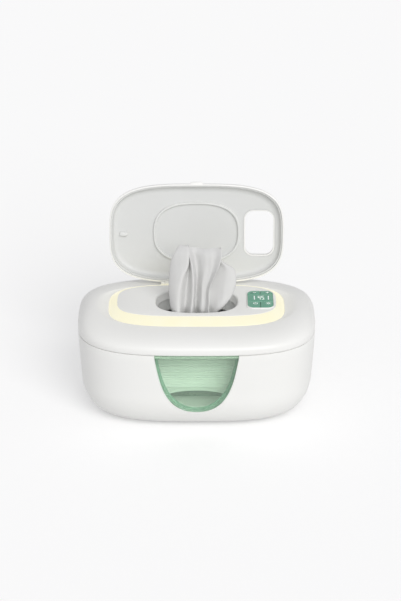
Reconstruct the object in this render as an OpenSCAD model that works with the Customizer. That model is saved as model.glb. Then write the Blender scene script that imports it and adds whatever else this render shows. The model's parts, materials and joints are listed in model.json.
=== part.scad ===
// Baby wipe warmer: lower housing with a viewing window, hinged cover with a light ring, flip lid.
// Millimetres. The origin is the middle of the footprint on the table, +Z up, front towards -Y.

/* [Housing] */
// Width of the housing at its widest line
body_w = 250; // [240:1:270]
// Depth of the housing at its widest line
body_d = 178; // [172:1:196]
// Height of the seam between the lower shell and the cover
seam_h = 90; // [86:1:104]
// Squareness of the housing seen from above
body_square = 3.1; // [2.9:0.1:3.6]
// Wall of the lower shell and of the cover
shell_wall = 2.6; // [2:0.1:3]
// Height of the rounding under the lower shell
base_round_h = 39; // [32:1:44]
// Inset of the rounding under the lower shell
base_round_in = 28; // [22:1:30]
// Draft of the lower shell's side
base_draft = 2.8; // [1:0.2:4]
// Open shadow line at the seam
seam_gap = 0.8; // [0.4:0.1:1.2]

/* [Feet] */
// Diameter of a rubber foot
foot_d = 16; // [10:1:18]
// Height of a foot below the shell
foot_proud = 2; // [1:0.5:4]

/* [Viewing window] */
// Width of the green window at its top
window_w = 88; // [70:1:100]
// Height of the green window
window_h = 66.6; // [56:0.5:68]
// Lean of the window's sides, in mm of width for each mm of height
window_lean = 0.175; // [0.1:0.005:0.22]
// Wall of the green moulding
window_wall = 2.2; // [1.6:0.1:3]

/* [Wipe tub] */
// Gap from the housing's widest line to the tub, at each end
tub_gap_end = 17.8; // [16:0.1:20]
// Gap from the housing's widest line to the tub, at the front and the back
tub_gap_front = 19.8; // [18.4:0.1:22]
// Height of the tub's inside floor above the table
tub_floor_h = 18.2; // [17:0.1:20]
// Wall of the tub
tub_wall = 2.2; // [1.8:0.1:2.6]
// Gap from the tub's mouth to each end of the stack of wipes
wipes_gap_end = 15; // [13:1:20]
// Gap from the tub's mouth to the front and the back of the stack
wipes_gap_front = 18; // [17.5:0.5:21]
// Height of the stack of wipes
wipes_h = 41; // [20:1:42]
// Height of the tray's top above the table
tray_h = 37; // [34:0.5:38]
// Thickness of the tray
tray_t = 2.4; // [1.8:0.2:3]

/* [Cover and light ring] */
// Rise from the seam to the housing's widest line
belly_rise = 5; // [4:0.5:8]
// Rise from the widest line to the crest at each end
crest_rise = 14.8; // [13:0.2:18]
// Width between the crests at the two ends
crest_w = 215; // [208:1:219]
// Rise from the widest line to the foot of the light ring
ring_foot_rise = 12; // [11:0.5:14]
// Width of the light ring
ring_w = 184.6; // [180:0.2:188]
// Depth of the light ring
ring_d = 104.8; // [102:0.2:108]
// Squareness of the light ring and the lid
ring_square = 3.4; // [3.2:0.1:3.8]
// Height of the light ring's bevel
ring_rise = 6; // [5:0.5:8]
// Width of the bevel at the two ends
ring_run_end = 8.3; // [7.5:0.1:9]
// Width of the bevel along the front and the back
ring_run_front = 12.4; // [11:0.2:13]
// Wall of the translucent bevel
ring_wall = 2.2; // [1.6:0.2:2.4]

/* [Deck and wipe opening] */
// Thickness of the deck
deck_t = 2.6; // [2:0.2:3]
// Width of the wipe opening
opening_w = 85.6; // [70:0.2:86]
// Depth of the wipe opening
opening_d = 59.2; // [40:0.2:60]
// Squareness of the wipe opening
opening_square = 2.6; // [2.2:0.1:3]
// Length of the lip round the wipe opening
lip_len = 9; // [7:0.5:10]

/* [Control panel] */
// Place of the panel's middle, to the right of the deck's middle
panel_x = 67.2; // [66:0.1:67.4]
// Width of the panel's frame
panel_w = 29; // [27:0.2:29.4]
// Depth of the panel's frame
panel_d = 45.4; // [42:0.2:46]
// Height of the frame above the deck
frame_proud = 1; // [0.6:0.1:1.2]
// Height of the keys above the deck
key_proud = 1.3; // [0.8:0.1:1.4]
// Travel of a key
key_travel = 0.6; // [0.3:0.1:0.7]
// Depth of the front pair of keys
front_key_d = 14.6; // [12:0.2:15]
// Depth of the rear pair of keys
rear_key_d = 9; // [8:0.2:11]

/* [Flip lid] */
// Width of the lid
lid_w = 187.4; // [187:0.2:189]
// Depth of the lid
lid_d = 107.2; // [106.8:0.2:108]
// Height of the lid from its rim to its crown
lid_h = 15.2; // [14.8:0.2:18]
// Wall of the lid
lid_wall = 1.7; // [1.4:0.1:1.9]
// Angle of the open lid from closed, in degrees
lid_angle = 102; // [95:1:108]
// Depth of the lid's inside, from rim to face
lid_dish = 8.4; // [8.2:0.1:8.8]
// Width of the lid's window over the panel
lid_window_w = 30.2; // [30:0.2:31]
// Depth of the lid's window over the panel
lid_window_d = 47.2; // [46.8:0.2:48]
// Width of the seal's bead
bead_w = 2.4; // [1.8:0.1:2.6]
// Width of the finger tab
tab_w = 13.3; // [10:0.5:18]

/* [Hinges] */
// Diameter of the cover hinge's knuckles
knuckle_d = 6; // [5.6:0.2:7]
// Diameter of the cover hinge's pins
pin_d = 2.4; // [2:0.1:2.8]
// Distance of each cover hinge from the middle
hinge_x = 38; // [32:1:44]
// Length of each cover hinge
hinge_len = 26; // [22:1:30]
// Diameter of the lid hinge's knuckles
lid_knuckle_d = 4.4; // [4:0.1:4.4]
// Diameter of the lid hinge's pins
lid_pin_d = 1.8; // [1.4:0.1:2]
// Distance of each lid hinge from the middle
lid_hinge_x = 30; // [24:1:40]
// Radial play of a pin in its bore
pin_play = 0.05; // [0.03:0.01:0.08]
// Play between knuckles, along and round the pin
knuckle_play = 0.4; // [0.3:0.05:0.5]

/* [Hidden] */

$fn = 48;
SIDES = 64;

// Small distances used throughout
fit = 0.2;
seat = 0.3;
eps = 0.01;

// Colours
white = "#f4f4f2";
inner_white = "#e9eae8";
green = "#6fae93";
steel = "#b9bcc0";
board_green = "#2f6b4f";
glow = "#fffbe0";

// Heights
base_z = foot_proud;
round_top = base_z + base_round_h;
belly_z = seam_h + belly_rise;
base_top = seam_h - seam_gap / 2;
cover_bottom = seam_h + seam_gap / 2;
ring_z = belly_z + ring_foot_rise;
crest_z = belly_z + crest_rise;
deck_z = ring_z + ring_rise;
ledge_z = seam_h - 4;
tub_rim_z = ledge_z + tub_wall;
liner_t = 2;
liner_z = cover_bottom + seat;
liner_top = liner_z + liner_t;
lip_z = deck_z - lip_len;

// Half sizes seen from above
half_w = body_w / 2;
half_d = body_d / 2;
hinge_y = half_d - knuckle_d / 2;
rear_y = hinge_y - fit;
crest_half_w = crest_w / 2;
ring_half_w = ring_w / 2;
ring_half_d = ring_d / 2;
crest_half_d = ring_half_d + 2.1;
top_half_w = ring_half_w - ring_run_end;
top_half_d = ring_half_d - ring_run_front;
crest_square = 2.6;
no_back = 1000;

// Superellipse sections, walked in equal steps of the angle
function signed_pow(v, p) = sign(v) * pow(abs(v), p);
function arc_xy(a, b, square, t) = [
    a * signed_pow(cos(t), 2 / square),
    b * signed_pow(sin(t), 2 / square)
];

// A level ring, cut off flat behind at back
function ring(a, b, square, z, back = no_back) = [
    for (i = [0 : SIDES - 1])
        let (p = arc_xy(a, b, square, 360 * i / SIDES))
        [p[0], min(back, p[1]), z]
];

// A ring whose height goes from z_front at the front and back to z_end at the two ends
function wavy_ring(a, b, square, z_front, z_end, back = no_back) = [
    for (i = [0 : SIDES - 1])
        let (t = 360 * i / SIDES)
        let (p = arc_xy(a, b, square, t))
        [p[0], min(back, p[1]), z_front + (z_end - z_front) * pow(cos(t), 4)]
];

// A flat outline for straight pieces
function outline(a, b, square, back = no_back) = [
    for (i = [0 : SIDES - 1])
        let (p = arc_xy(a, b, square, 360 * i / SIDES))
        [p[0], min(back, p[1])]
];

// The housing's outline, moved inwards
function body_outline(inset) = outline(half_w - inset, half_d - inset, body_square, rear_y - inset);

function side_faces(n, low, high) = [
    for (i = [0 : n - 1])
        let (k = (i + 1) % n)
        [low * n + i, high * n + i, high * n + k, low * n + k]
];

// Skin over a row of rings, closed flat at both ends
module skin(rings) {
    n = len(rings[0]);
    last = len(rings) - 1;
    polyhedron(
        points = [for (r = rings) for (p = r) p],
        faces = concat(
            [[for (i = [0 : n - 1]) i]],
            [for (j = [0 : last - 1]) for (f = side_faces(n, j, j + 1)) f],
            [[for (i = [n - 1 : -1 : 0]) last * n + i]]
        )
    );
}

// Skin over a row of rings that comes back to its first ring, for frames and open shells
module skin_loop(rings) {
    n = len(rings[0]);
    count = len(rings);
    polyhedron(
        points = [for (r = rings) for (p = r) p],
        faces = [for (j = [0 : count - 1]) for (f = side_faces(n, j, (j + 1) % count)) f]
    );
}

module rounded_rect(w, d, r) {
    square([w - 2 * r, d], center = true);
    square([w, d - 2 * r], center = true);
    for (x = [-1, 1], y = [-1, 1])
        translate([x * (w / 2 - r), y * (d / 2 - r)])
            circle(r = r);
}

module rounded_plate(w, d, r, t) {
    linear_extrude(t)
        rounded_rect(w, d, r);
}

module at_corners(x, y) {
    for (sx = [-1, 1], sy = [-1, 1])
        translate([sx * x, sy * y, 0])
            children();
}

module along_x(x, length, r) {
    translate([x, 0, 0])
        rotate([0, 90, 0])
            cylinder(r = r, h = length);
}

// Tube of radius r through a few points, each joint mitred
function unit(v) = v / norm(v);
function tube_tangent(path, i) = unit(path[min(i + 1, len(path) - 1)] - path[max(i - 1, 0)]);
function tube_ring(path, i, r, sides) =
    let (d = tube_tangent(path, i))
    let (u = unit(cross(d, abs(d[2]) > 0.9 ? [1, 0, 0] : [0, 0, 1])))
    let (v = cross(d, u))
    [for (k = [0 : sides - 1]) path[i] + r * (u * cos(360 * k / sides) + v * sin(360 * k / sides))];

module tube(path, r, sides = 6) {
    skin([for (i = [0 : len(path) - 1]) tube_ring(path, i, r, sides)]);
}

// Lower shell: inset of its outside from the widest line, at an angle down the rounding
function round_inset(u, wall) = base_draft + wall + (base_round_in - wall) * (1 - cos(u));
function round_z(u, wall) = round_top - (base_round_h - wall) * sin(u);
function draft_inset(f) = base_draft * pow(1 - f, 1.6);
function lower_rings(wall) = concat(
    [for (u = [90 : -15 : 0]) ring(
        half_w - round_inset(u, wall), half_d - round_inset(u, wall), body_square,
        round_z(u, wall), rear_y - wall)],
    [for (f = [0.4, 0.8]) ring(
        half_w - draft_inset(f) - wall, half_d - draft_inset(f) - wall, body_square,
        round_top + (belly_z - round_top) * f, rear_y - wall)]
);
function rim_ring(inset, z) = ring(half_w - inset, half_d - inset, body_square, z, rear_y - inset);

// Tongue inside the seam, lower along the hinge side where the cover swings
tongue_h = 3;
tongue_gap = 0.5;
tongue_t = 1.6;
tongue_in = shell_wall + tongue_gap;
ledge_in = tongue_in + tongue_t;
ledge_w = 3;
function tongue_ring(inset, high) = [
    for (p = rim_ring(inset, base_top))
        [p[0], p[1], base_top + (p[1] > half_d * 0.55 ? min(high, 0.4) : high)]
];

// Lower housing
foot_x = half_w - base_draft - base_round_in - 22;
foot_y = half_d - base_draft - base_round_in - 22;
foot_pocket = 0.6;
tub_screw_x = half_w * 0.728;
tub_screw_y = half_d * 0.685;
boss_r = 3.4;
boss_h = 14;
boss_in = shell_wall / 2 + 0.5;
screw_r = 1.3;
screw_head_r = 2.7;
screw_head_h = 1.6;
screw_bite = 7;
tub_screw_bite = 9;
foot_edge = 0.8;
inlet_x = 42;
inlet_drop = 42;
inlet_z = seam_h - inlet_drop;
inlet_r = 4;
board_y = rear_y - shell_wall - 8;
board_w = 54;
board_h = 34;
board_z = inlet_z;
board_t = 1.6;
board_x = -4;
standoff_r = 3;

// The front stretch of the lower shell as a solid, to cut the window's pane from
front_first = round(SIDES * 0.64);
front_last = round(SIDES * 0.86);
function front_part(r) = concat(
    [for (i = [front_first : front_last]) r[i]],
    [[r[front_last][0], -half_d / 4, r[0][2]], [r[front_first][0], -half_d / 4, r[0][2]]]
);
module front_solid(wall, top) {
    skin([for (r = concat(lower_rings(wall), [rim_ring(wall + 0.1, top)])) front_part(r)]);
}

// Outline of the window seen from the front, grown by g
function window_half(down, g) =
    (window_w / 2 + g - window_lean * down) * pow(1 - pow(min(1, down / (window_h + g)), 4), 1 / 2.2);
window_steps = [for (q = [0 : 7.5 : 90]) q];
function window_outline(g) = concat(
    [for (q = window_steps) let (down = (window_h + g) * sin(q)) [window_half(down, g), -down]],
    [for (i = [len(window_steps) - 2 : -1 : 0])
        let (down = (window_h + g) * sin(window_steps[i]))
        [-window_half(down, g), -down]]
);
window_top = base_top;
window_play = 0.25;

// Prism of the window's outline between two depths, cut level at top
module window_prism(g, y_from, y_to, top) {
    intersection() {
        translate([0, y_to, window_top])
            rotate([90, 0, 0])
                linear_extrude(y_to - y_from)
                    polygon(window_outline(g));
        translate([0, (y_from + y_to) / 2, top - 100])
            cube([window_w + 20, y_to - y_from + 2, 200], center = true);
    }
}

module base_shell() {
    color(white)
        difference() {
            union() {
                skin(concat(
                    lower_rings(0),
                    [rim_ring(0.1, base_top), rim_ring(tongue_in, base_top)],
                    [tongue_ring(tongue_in, tongue_h), tongue_ring(tongue_in + tongue_t, tongue_h)],
                    [rim_ring(ledge_in, ledge_z), rim_ring(ledge_in + ledge_w, ledge_z)],
                    [rim_ring(ledge_in + ledge_w, ledge_z - 1.2), rim_ring(shell_wall + 0.6, ledge_z - 6)],
                    [for (i = [7 : -1 : 0]) lower_rings(shell_wall)[i]]
                ));
                // Knuckles on the rear edge
                for (s = [-1, 1])
                    translate([0, hinge_y, seam_h])
                        along_x(s * hinge_x - hinge_len / 2, hinge_len, knuckle_d / 2);
                // Bosses for the tub's screws, each with a rib to the wall
                intersection() {
                    translate([0, 0, ledge_z - boss_h])
                        linear_extrude(boss_h)
                            polygon(body_outline(boss_in));
                    union() {
                        at_corners(tub_screw_x, tub_screw_y)
                            translate([0, 0, ledge_z - boss_h])
                                cylinder(r = boss_r, h = boss_h);
                        for (sx = [-1, 1], sy = [-1, 1])
                            translate([sx * tub_screw_x, sy * tub_screw_y, ledge_z - boss_h / 2])
                                rotate([0, 0, sx * sy * 45 + (sx < 0 ? 180 : 0)])
                                    translate([10, 0, 0])
                                        cube([20, 2.4, boss_h], center = true);
                    }
                }
                // Standoffs for the power board
                for (s = [-1, 1])
                    translate([board_x + s * (board_w / 2 - 5), board_y, board_z])
                        rotate([-90, 0, 0])
                            cylinder(r = standoff_r, h = rear_y - shell_wall / 2 - board_y);
            }
            // Gap for the cover's knuckle and its swing, and the pin bores
            for (s = [-1, 1])
                translate([0, hinge_y, seam_h]) {
                    along_x(s * hinge_x - cover_knuckle / 2 - knuckle_play,
                        cover_knuckle + 2 * knuckle_play, knuckle_d / 2 + knuckle_play);
                    along_x(s * hinge_x - hinge_len / 2 - 1, hinge_len + 2, pin_d / 2 + pin_play);
                }
            // Opening for the green window, through wall, ledge and tongue
            window_prism(0, -half_d - 5, -half_d + 14, window_top + 1);
            translate([0, -half_d + 4.5, ledge_z + 4])
                cube([window_w, 19, 12], center = true);
            // Foot pockets
            at_corners(foot_x, foot_y)
                translate([0, 0, base_z - 1])
                    cylinder(r = foot_d / 2 + fit, h = 1 + foot_pocket);
            // Hole for the power inlet
            translate([inlet_x, rear_y - shell_wall - 2, inlet_z])
                rotate([-90, 0, 0])
                    cylinder(r = inlet_r + fit, h = shell_wall + 10);
            // Pilot bores of the tub's screws
            at_corners(tub_screw_x, tub_screw_y)
                translate([0, 0, ledge_z - 10])
                    cylinder(r = screw_r + pin_play, h = 12);
        }
}

module rubber_feet() {
    color("#8d9092")
        at_corners(foot_x, foot_y)
            rotate_extrude()
                polygon([
                    [0, 0], [foot_d / 2 - foot_edge, 0], [foot_d / 2, foot_edge],
                    [foot_d / 2, base_z + foot_pocket], [0, base_z + foot_pocket]
                ]);
}

// Green moulding: a pane that follows the shell, with a collar back to the tub
tub_half_w = half_w - tub_gap_end;
tub_half_d = half_d - tub_gap_front;
frame_t = 2.6;
frame_y = -tub_half_d - 2;
gasket_t = 1;
collar_y = frame_y - gasket_t - 2 * 0.1;
collar_top = ledge_z - seat;
collar_in = -window_play - window_wall;

module front_window() {
    color(green, 0.6)
        difference() {
            intersection() {
                front_solid(0, base_top);
                window_prism(-window_play, -half_d - 5, collar_y, window_top + 1);
            }
            intersection() {
                front_solid(window_wall, base_top + 5);
                window_prism(collar_in, -half_d - 5, collar_y + 1, collar_top - window_wall);
            }
            // Room for the tub's flange above the collar
            translate([0, -half_d + shell_wall + tongue_gap + tongue_t - 0.4 + 20, collar_top + 10])
                cube([window_w + 20, 40, 20], center = true);
        }
}

module window_ring(g_out, g_in, y_from, y_to) {
    difference() {
        window_prism(g_out, y_from, y_to, collar_top);
        window_prism(g_in, y_from - 1, y_to + 1, collar_top - window_wall);
    }
}

module window_gasket() {
    color("#5b7d70")
        window_ring(collar_in + window_wall, collar_in, frame_y - gasket_t - 0.1, frame_y - 0.1);
}

// Wipe tub
tub_square = 3.4;
tub_draft = 3.6;
tub_round = 12;
floor_half_w = tub_half_w - tub_draft - tub_round;
floor_half_d = tub_half_d - tub_draft - tub_round;
wipes_w = 2 * (tub_half_w - tub_wall - wipes_gap_end);
wipes_d = 2 * (tub_half_d - tub_wall - wipes_gap_front);
flange_out = tongue_in + tongue_t + 0.4;
function tub_ring(inset, z) = ring(tub_half_w - inset, tub_half_d - inset, tub_square, z);
function tub_round_rings(wall) = [
    for (u = [90 : -30 : 0])
        tub_ring(tub_draft + wall + (tub_round - wall) * (1 - cos(u)),
            tub_floor_h - tub_wall + tub_round - (tub_round - wall) * sin(u))
];

// The tub's hollow, from its floor up to the height top
module tub_hollow(top) {
    skin(concat(tub_round_rings(tub_wall), [tub_ring(tub_wall, ledge_z), tub_ring(tub_wall, top)]));
}

// Bowl of the tub, open at the front for the frame
module inner_tub() {
    color(inner_white)
        difference() {
            skin(concat(tub_round_rings(0), [tub_ring(0, ledge_z)]));
            tub_hollow(ledge_z + 1);
            window_prism(collar_in + frame_t, frame_y - 1, -tub_half_d + 16, ledge_z + 2);
        }
}

// Flange of the tub, on the shell's ledge
module tub_flange() {
    color(inner_white)
        difference() {
            skin_loop([
                rim_ring(flange_out, ledge_z), rim_ring(flange_out, tub_rim_z),
                tub_ring(tub_wall, tub_rim_z), tub_ring(tub_wall, ledge_z)
            ]);
            at_corners(tub_screw_x, tub_screw_y)
                translate([0, 0, ledge_z - 1])
                    cylinder(r = screw_r + 0.3, h = tub_wall + 2);
        }
}

// Flat frame round the window, from the gasket to the tub's inside
module tub_frame() {
    color(inner_white)
        difference() {
            window_prism(collar_in + frame_t, frame_y, -tub_half_d + 14, collar_top);
            window_prism(collar_in, frame_y - 1, -tub_half_d + 16, collar_top - window_wall);
            tub_hollow(ledge_z + 1);
        }
}

// Screw with its head at z = 0 and its shank along +Z
module screw(length) {
    translate([0, 0, -screw_head_h])
        cylinder(r = screw_head_r, h = screw_head_h);
    translate([0, 0, -eps])
        cylinder(r = screw_r, h = length + eps);
}

module tub_screws() {
    color(steel)
        at_corners(tub_screw_x, tub_screw_y)
            translate([0, 0, tub_rim_z])
                mirror([0, 0, 1])
                    screw(tub_wall + tub_screw_bite);
}

// Heater stack under the tub's floor
heater_top = tub_floor_h - tub_wall;
plate_t = 1.2;
film_t = 0.5;
pad_t = 4;
heater_margin = 11.6;
heater_w = 2 * (floor_half_w - heater_margin);
heater_d = 2 * (floor_half_d - heater_margin);
fuse_x = heater_w / 2 - 28;
sensor_x = -fuse_x;
fuse_r = 1.9;
fuse_len = 12;
sensor_r = 1.5;
sensor_len = 7;
fuse_slot_w = 22;
fuse_slot_d = 8;

module heater_plate() {
    color("#c9ccd0")
        translate([0, 0, heater_top - plate_t])
            rounded_plate(heater_w, heater_d, 10, plate_t);
}

module heater_film() {
    color("#b5651d")
        translate([0, 0, heater_top - plate_t - film_t])
            rounded_plate(heater_w - 8, heater_d - 8, 8, film_t);
}

module insulation_pad() {
    color("#d8d4c8")
        translate([0, 0, heater_top - plate_t - film_t - pad_t])
            difference() {
                rounded_plate(heater_w - 4, heater_d - 4, 8, pad_t);
                for (x = [fuse_x, sensor_x])
                    translate([x, 0, pad_t / 2])
                        cube([fuse_slot_w, fuse_slot_d, pad_t + 2], center = true);
            }
}

module under_film(x, length, r) {
    translate([0, 0, heater_top - plate_t - film_t - r])
        along_x(x - length / 2, length, r);
}

module thermal_fuse() {
    color("#c8b98a")
        under_film(fuse_x, fuse_len, fuse_r);
}

module temperature_sensor() {
    color("#303336")
        under_film(sensor_x, sensor_len, sensor_r);
}

module power_board() {
    color(board_green)
        translate([board_x, board_y, board_z]) {
            translate([-board_w / 2, -board_t, -board_h / 2])
                cube([board_w, board_t, board_h]);
            translate([-16, -board_t - 1.2, -8])
                cube([9, 1.2 + eps, 9]);
            translate([12, -board_t - 2.6, 4])
                cube([10, 2.6 + eps, 8]);
            translate([-2, -board_t + eps, 8])
                rotate([90, 0, 0])
                    cylinder(r = 3, h = 2.8);
        }
}

inlet_body_w = 9.4;
inlet_body_h = 11;
inlet_set = 1.3;
inlet_depth = rear_y - shell_wall - board_y + 3;
inlet_bore_r = 3.1;
inlet_pin_r = 1.05;
inlet_mouth = shell_wall - 0.7;
inlet_floor = inlet_mouth - 9;

module on_inlet() {
    translate([inlet_x, rear_y - shell_wall, inlet_z])
        rotate([-90, 0, 0])
            children();
}

module dc_inlet() {
    color("#26282a")
        difference() {
            union() {
                translate([inlet_x - inlet_body_w / 2, rear_y - shell_wall - inlet_depth,
                    inlet_z - inlet_body_h / 2])
                    cube([inlet_body_w, inlet_depth - inlet_set, inlet_body_h]);
                on_inlet()
                    translate([0, 0, -inlet_set - 1])
                        cylinder(r = inlet_r, h = inlet_mouth + inlet_set + 1);
            }
            on_inlet()
                translate([0, 0, inlet_floor])
                    cylinder(r = inlet_bore_r, h = 12);
            on_inlet()
                translate([0, 0, inlet_floor - 2])
                    cylinder(r = inlet_pin_r + 0.02, h = 4);
        }
}

module dc_pin() {
    color(steel)
        on_inlet()
            translate([0, 0, inlet_floor - 1.9])
                cylinder(r = inlet_pin_r, h = 9.7);
}

// Leads from the fuse and the sensor, under the tub and up to the board
lead_r = 0.9;
lead_floor = base_z + shell_wall + lead_r + 0.3;
function lead_path(x_from, x_to) = [
    [x_from, 0, heater_top - plate_t - film_t - pad_t - lead_r + 2.2],
    [x_from, 6, lead_floor + 1],
    [x_from, 14, lead_floor],
    [(x_from + x_to) / 2, 36, lead_floor],
    [x_to, half_d * 0.63, lead_floor + 1.5],
    [x_to, half_d * 0.80, lead_floor + 13],
    [x_to, board_y - board_t - lead_r - 0.1, board_z - board_h / 2 - 2],
    [x_to, board_y - board_t - lead_r - 0.1, board_z - board_h / 2 + 4]
];
module heater_leads() {
    color("#b03a30") {
        tube(lead_path(fuse_x + fuse_len / 2 + 2, board_x + 10), lead_r);
        tube(lead_path(sensor_x - sensor_len / 2 - 3.5, board_x - 10), lead_r);
    }
}

// Tray that holds the wipes above the moist pad
tray_z = tray_h - tray_t;
tray_play = 0.8;
tray_in = tub_draft * 0.8 + tub_wall + tray_play;
leg_r = 4;
leg_x = floor_half_w * 0.85;
leg_y = floor_half_d * 0.48;
notch_w = 62;
notch_d = wipes_d / 2 + 0.8;
slot_pitch = 22;
slot_w = 7;
slot_len = 56;
slot_y = 8;
module wipe_tray() {
    color(inner_white)
        difference() {
            union() {
                translate([0, 0, tray_z])
                    linear_extrude(tray_t)
                        polygon(outline(tub_half_w - tray_in, tub_half_d - tray_in, tub_square));
                at_corners(leg_x, leg_y)
                    translate([0, 0, tub_floor_h + 0.1])
                        cylinder(r = leg_r, h = tray_z - tub_floor_h);
            }
            // Finger notch at the front
            translate([0, -tub_half_d + tray_in - 2.5, tray_z - 1])
                linear_extrude(tray_t + 2)
                    polygon(outline(notch_w / 2 + 1, tub_half_d - tray_in + 2.5 - notch_d, 2));
            // Drain slots
            for (i = [-3 : 3])
                translate([i * slot_pitch, slot_y, tray_z - 1])
                    rounded_plate(slot_w, slot_len, slot_w / 2 - 0.1, tray_t + 2);
        }
}

sponge_t = 9;
sponge_gap = 4;
sponge_corner = 12;
sponge_d = floor_half_d * 1.16;
module moisture_pad() {
    color("#7f8f86")
        translate([0, 0, tub_floor_h + 0.1])
            rounded_plate(2 * (leg_x - leg_r - sponge_gap), sponge_d, sponge_corner, sponge_t);
}

module wipe_stack() {
    color("#fafafa")
        translate([0, 0, tray_h + 0.1])
            rounded_plate(wipes_w, wipes_d, 9, wipes_h);
}

// Cover hinge
cover_knuckle = hinge_len * 0.36;
module cover_hinge_pins() {
    color(steel)
        translate([0, hinge_y, seam_h])
            for (s = [-1, 1])
                along_x(s * hinge_x - hinge_len / 2 + 0.3, hinge_len - 0.6, pin_d / 2);
}

// Cover: shoulder from the widest line up to the crest, then a dish down to the light ring
hole_half_w = ring_half_w + fit;
hole_half_d = ring_half_d + fit;
function mix(a, b, f) = a + (b - a) * f;
function shoulder_ring(u, wall) = wavy_ring(
    mix(half_w - wall, crest_half_w - wall / 2, 1 - cos(u)),
    mix(half_d - wall, crest_half_d, 1 - cos(u)),
    mix(body_square, crest_square, 1 - cos(u)),
    belly_z + (ring_z - wall - belly_z) * sin(u),
    belly_z + (crest_z - wall - belly_z) * sin(u),
    rear_y - wall
);
function dish_ring(f) = wavy_ring(
    mix(crest_half_w, hole_half_w, f),
    mix(crest_half_d, hole_half_d, f),
    mix(crest_square, ring_square, f),
    ring_z,
    ring_z + (crest_z - ring_z) * pow(1 - f, 1.5)
);
// Posts for the liner's screws, on the shoulder and clear of the tub's gasket both ways
post_out_w = 9.07;
post_out_d = 3.87;
post_half_w = half_w - shell_wall / 2;
post_half_d = half_d - shell_wall / 2;
post_share = min(
    (post_half_w - tub_half_w - post_out_w) / (post_half_w - crest_half_w + shell_wall / 4),
    (post_half_d - tub_half_d - post_out_d) / (post_half_d - crest_half_d)
);
cover_post = shoulder_ring(acos(1 - post_share), shell_wall / 2)[round(SIDES * 0.095)];
cover_post_x = cover_post[0];
cover_post_y = cover_post[1];
post_r = 3.2;

// Lid hinge axis
lid_half_w = lid_w / 2;
lid_half_d = lid_d / 2;
lid_rim_z = ring_z + 0.8;
lid_axis_y = lid_half_d + 0.8;
lid_axis_z = lid_rim_z + 0.8;
lid_knuckle = 8;
ear_w = 4;
ear_r = lid_knuckle_d / 2 + 0.2;
ear_play = 0.3;

module on_lid_axis() {
    translate([0, lid_axis_y, lid_axis_z])
        for (s = [-1, 1])
            translate([s * lid_hinge_x, 0, 0])
                children();
}

module top_cover() {
    color(white)
        difference() {
            union() {
                skin_loop(concat(
                    [rim_ring(0.3, cover_bottom)],
                    [for (u = [0 : 15 : 90]) shoulder_ring(u, 0)],
                    [for (f = [0.35, 0.7, 1]) dish_ring(f)],
                    [ring(hole_half_w, hole_half_d, ring_square, ring_z - shell_wall)],
                    [for (u = [90, 67, 45, 22, 0]) shoulder_ring(u, shell_wall)],
                    [rim_ring(shell_wall, cover_bottom)]
                ));
                // Posts that the liner is screwed to
                at_corners(cover_post_x, cover_post_y)
                    translate([0, 0, liner_top + 0.1])
                        cylinder(r = post_r, h = cover_post[2] - liner_top - 0.1);
                // Knuckles between those of the lower shell
                translate([0, hinge_y, seam_h])
                    for (s = [-1, 1])
                        along_x(s * hinge_x - cover_knuckle / 2, cover_knuckle, knuckle_d / 2);
                // Ears of the lid hinge
                on_lid_axis()
                    for (x = [-lid_knuckle / 2 - ear_play - ear_w, lid_knuckle / 2 + ear_play])
                        along_x(x, ear_w, ear_r);
            }
            // Gaps for the lower shell's knuckles, and the pin bores
            translate([0, hinge_y, seam_h])
                for (s = [-1, 1]) {
                    for (x = [-hinge_len / 2 - knuckle_play, cover_knuckle / 2])
                        along_x(s * hinge_x + x, (hinge_len - cover_knuckle) / 2 + knuckle_play,
                            knuckle_d / 2 + knuckle_play);
                    along_x(s * hinge_x - hinge_len / 2, hinge_len, pin_d / 2 + pin_play);
                }
            // Grooves under the lid's knuckles, and the lid's pin bores
            on_lid_axis() {
                along_x(-lid_knuckle / 2 - ear_play, lid_knuckle + 2 * ear_play, lid_knuckle_d / 2 + 0.4);
                along_x(-lid_knuckle, 2 * lid_knuckle, lid_pin_d / 2 + pin_play);
            }
            // Pilot bores of the liner's screws
            at_corners(cover_post_x, cover_post_y)
                translate([0, 0, liner_top - 1])
                    cylinder(r = screw_r + pin_play, h = 10);
        }
}

// Light ring: a bevel of even wall with a flange under the cover's edge
ring_foot_z = ring_z - shell_wall - 1.6;
ring_mid_w = mix(ring_half_w, top_half_w, 0.5);
ring_mid_d = mix(ring_half_d, top_half_d, 0.5);
ring_mid_z = ring_z + ring_rise * 0.6;
module light_ring() {
    color(glow)
        skin_loop([
            ring(ring_half_w + 2.2, ring_half_d + 1.8, ring_square, ring_foot_z),
            ring(ring_half_w + 2.2, ring_half_d + 1.8, ring_square, ring_z - shell_wall - fit),
            ring(ring_half_w, ring_half_d, ring_square, ring_z - shell_wall - fit),
            ring(ring_half_w, ring_half_d, ring_square, ring_z),
            ring(ring_mid_w, ring_mid_d, ring_square, ring_mid_z),
            ring(top_half_w, top_half_d, ring_square, deck_z),
            ring(top_half_w, top_half_d, ring_square, deck_z - deck_t),
            ring(ring_mid_w - 1.2, ring_mid_d - 1.2, ring_square, ring_mid_z - ring_wall),
            ring(ring_half_w - ring_wall, ring_half_d - ring_wall, ring_square, ring_foot_z)
        ]);
}

// LED board under the bevel
led_board_t = 1.2;
led_board_z = ring_foot_z - 0.1 - led_board_t;
led_count = 28;
led_a = ring_half_w - ring_run_end / 2 - 2.2;
led_b = ring_half_d - ring_run_front / 2 - 0.6;
module led_board() {
    color("#eceff0")
        translate([0, 0, led_board_z])
            linear_extrude(led_board_t)
                difference() {
                    polygon(outline(ring_half_w - 1, ring_half_d - 1, ring_square));
                    polygon(outline(led_a - 3.4, led_b - 3.4, ring_square));
                }
}

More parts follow.
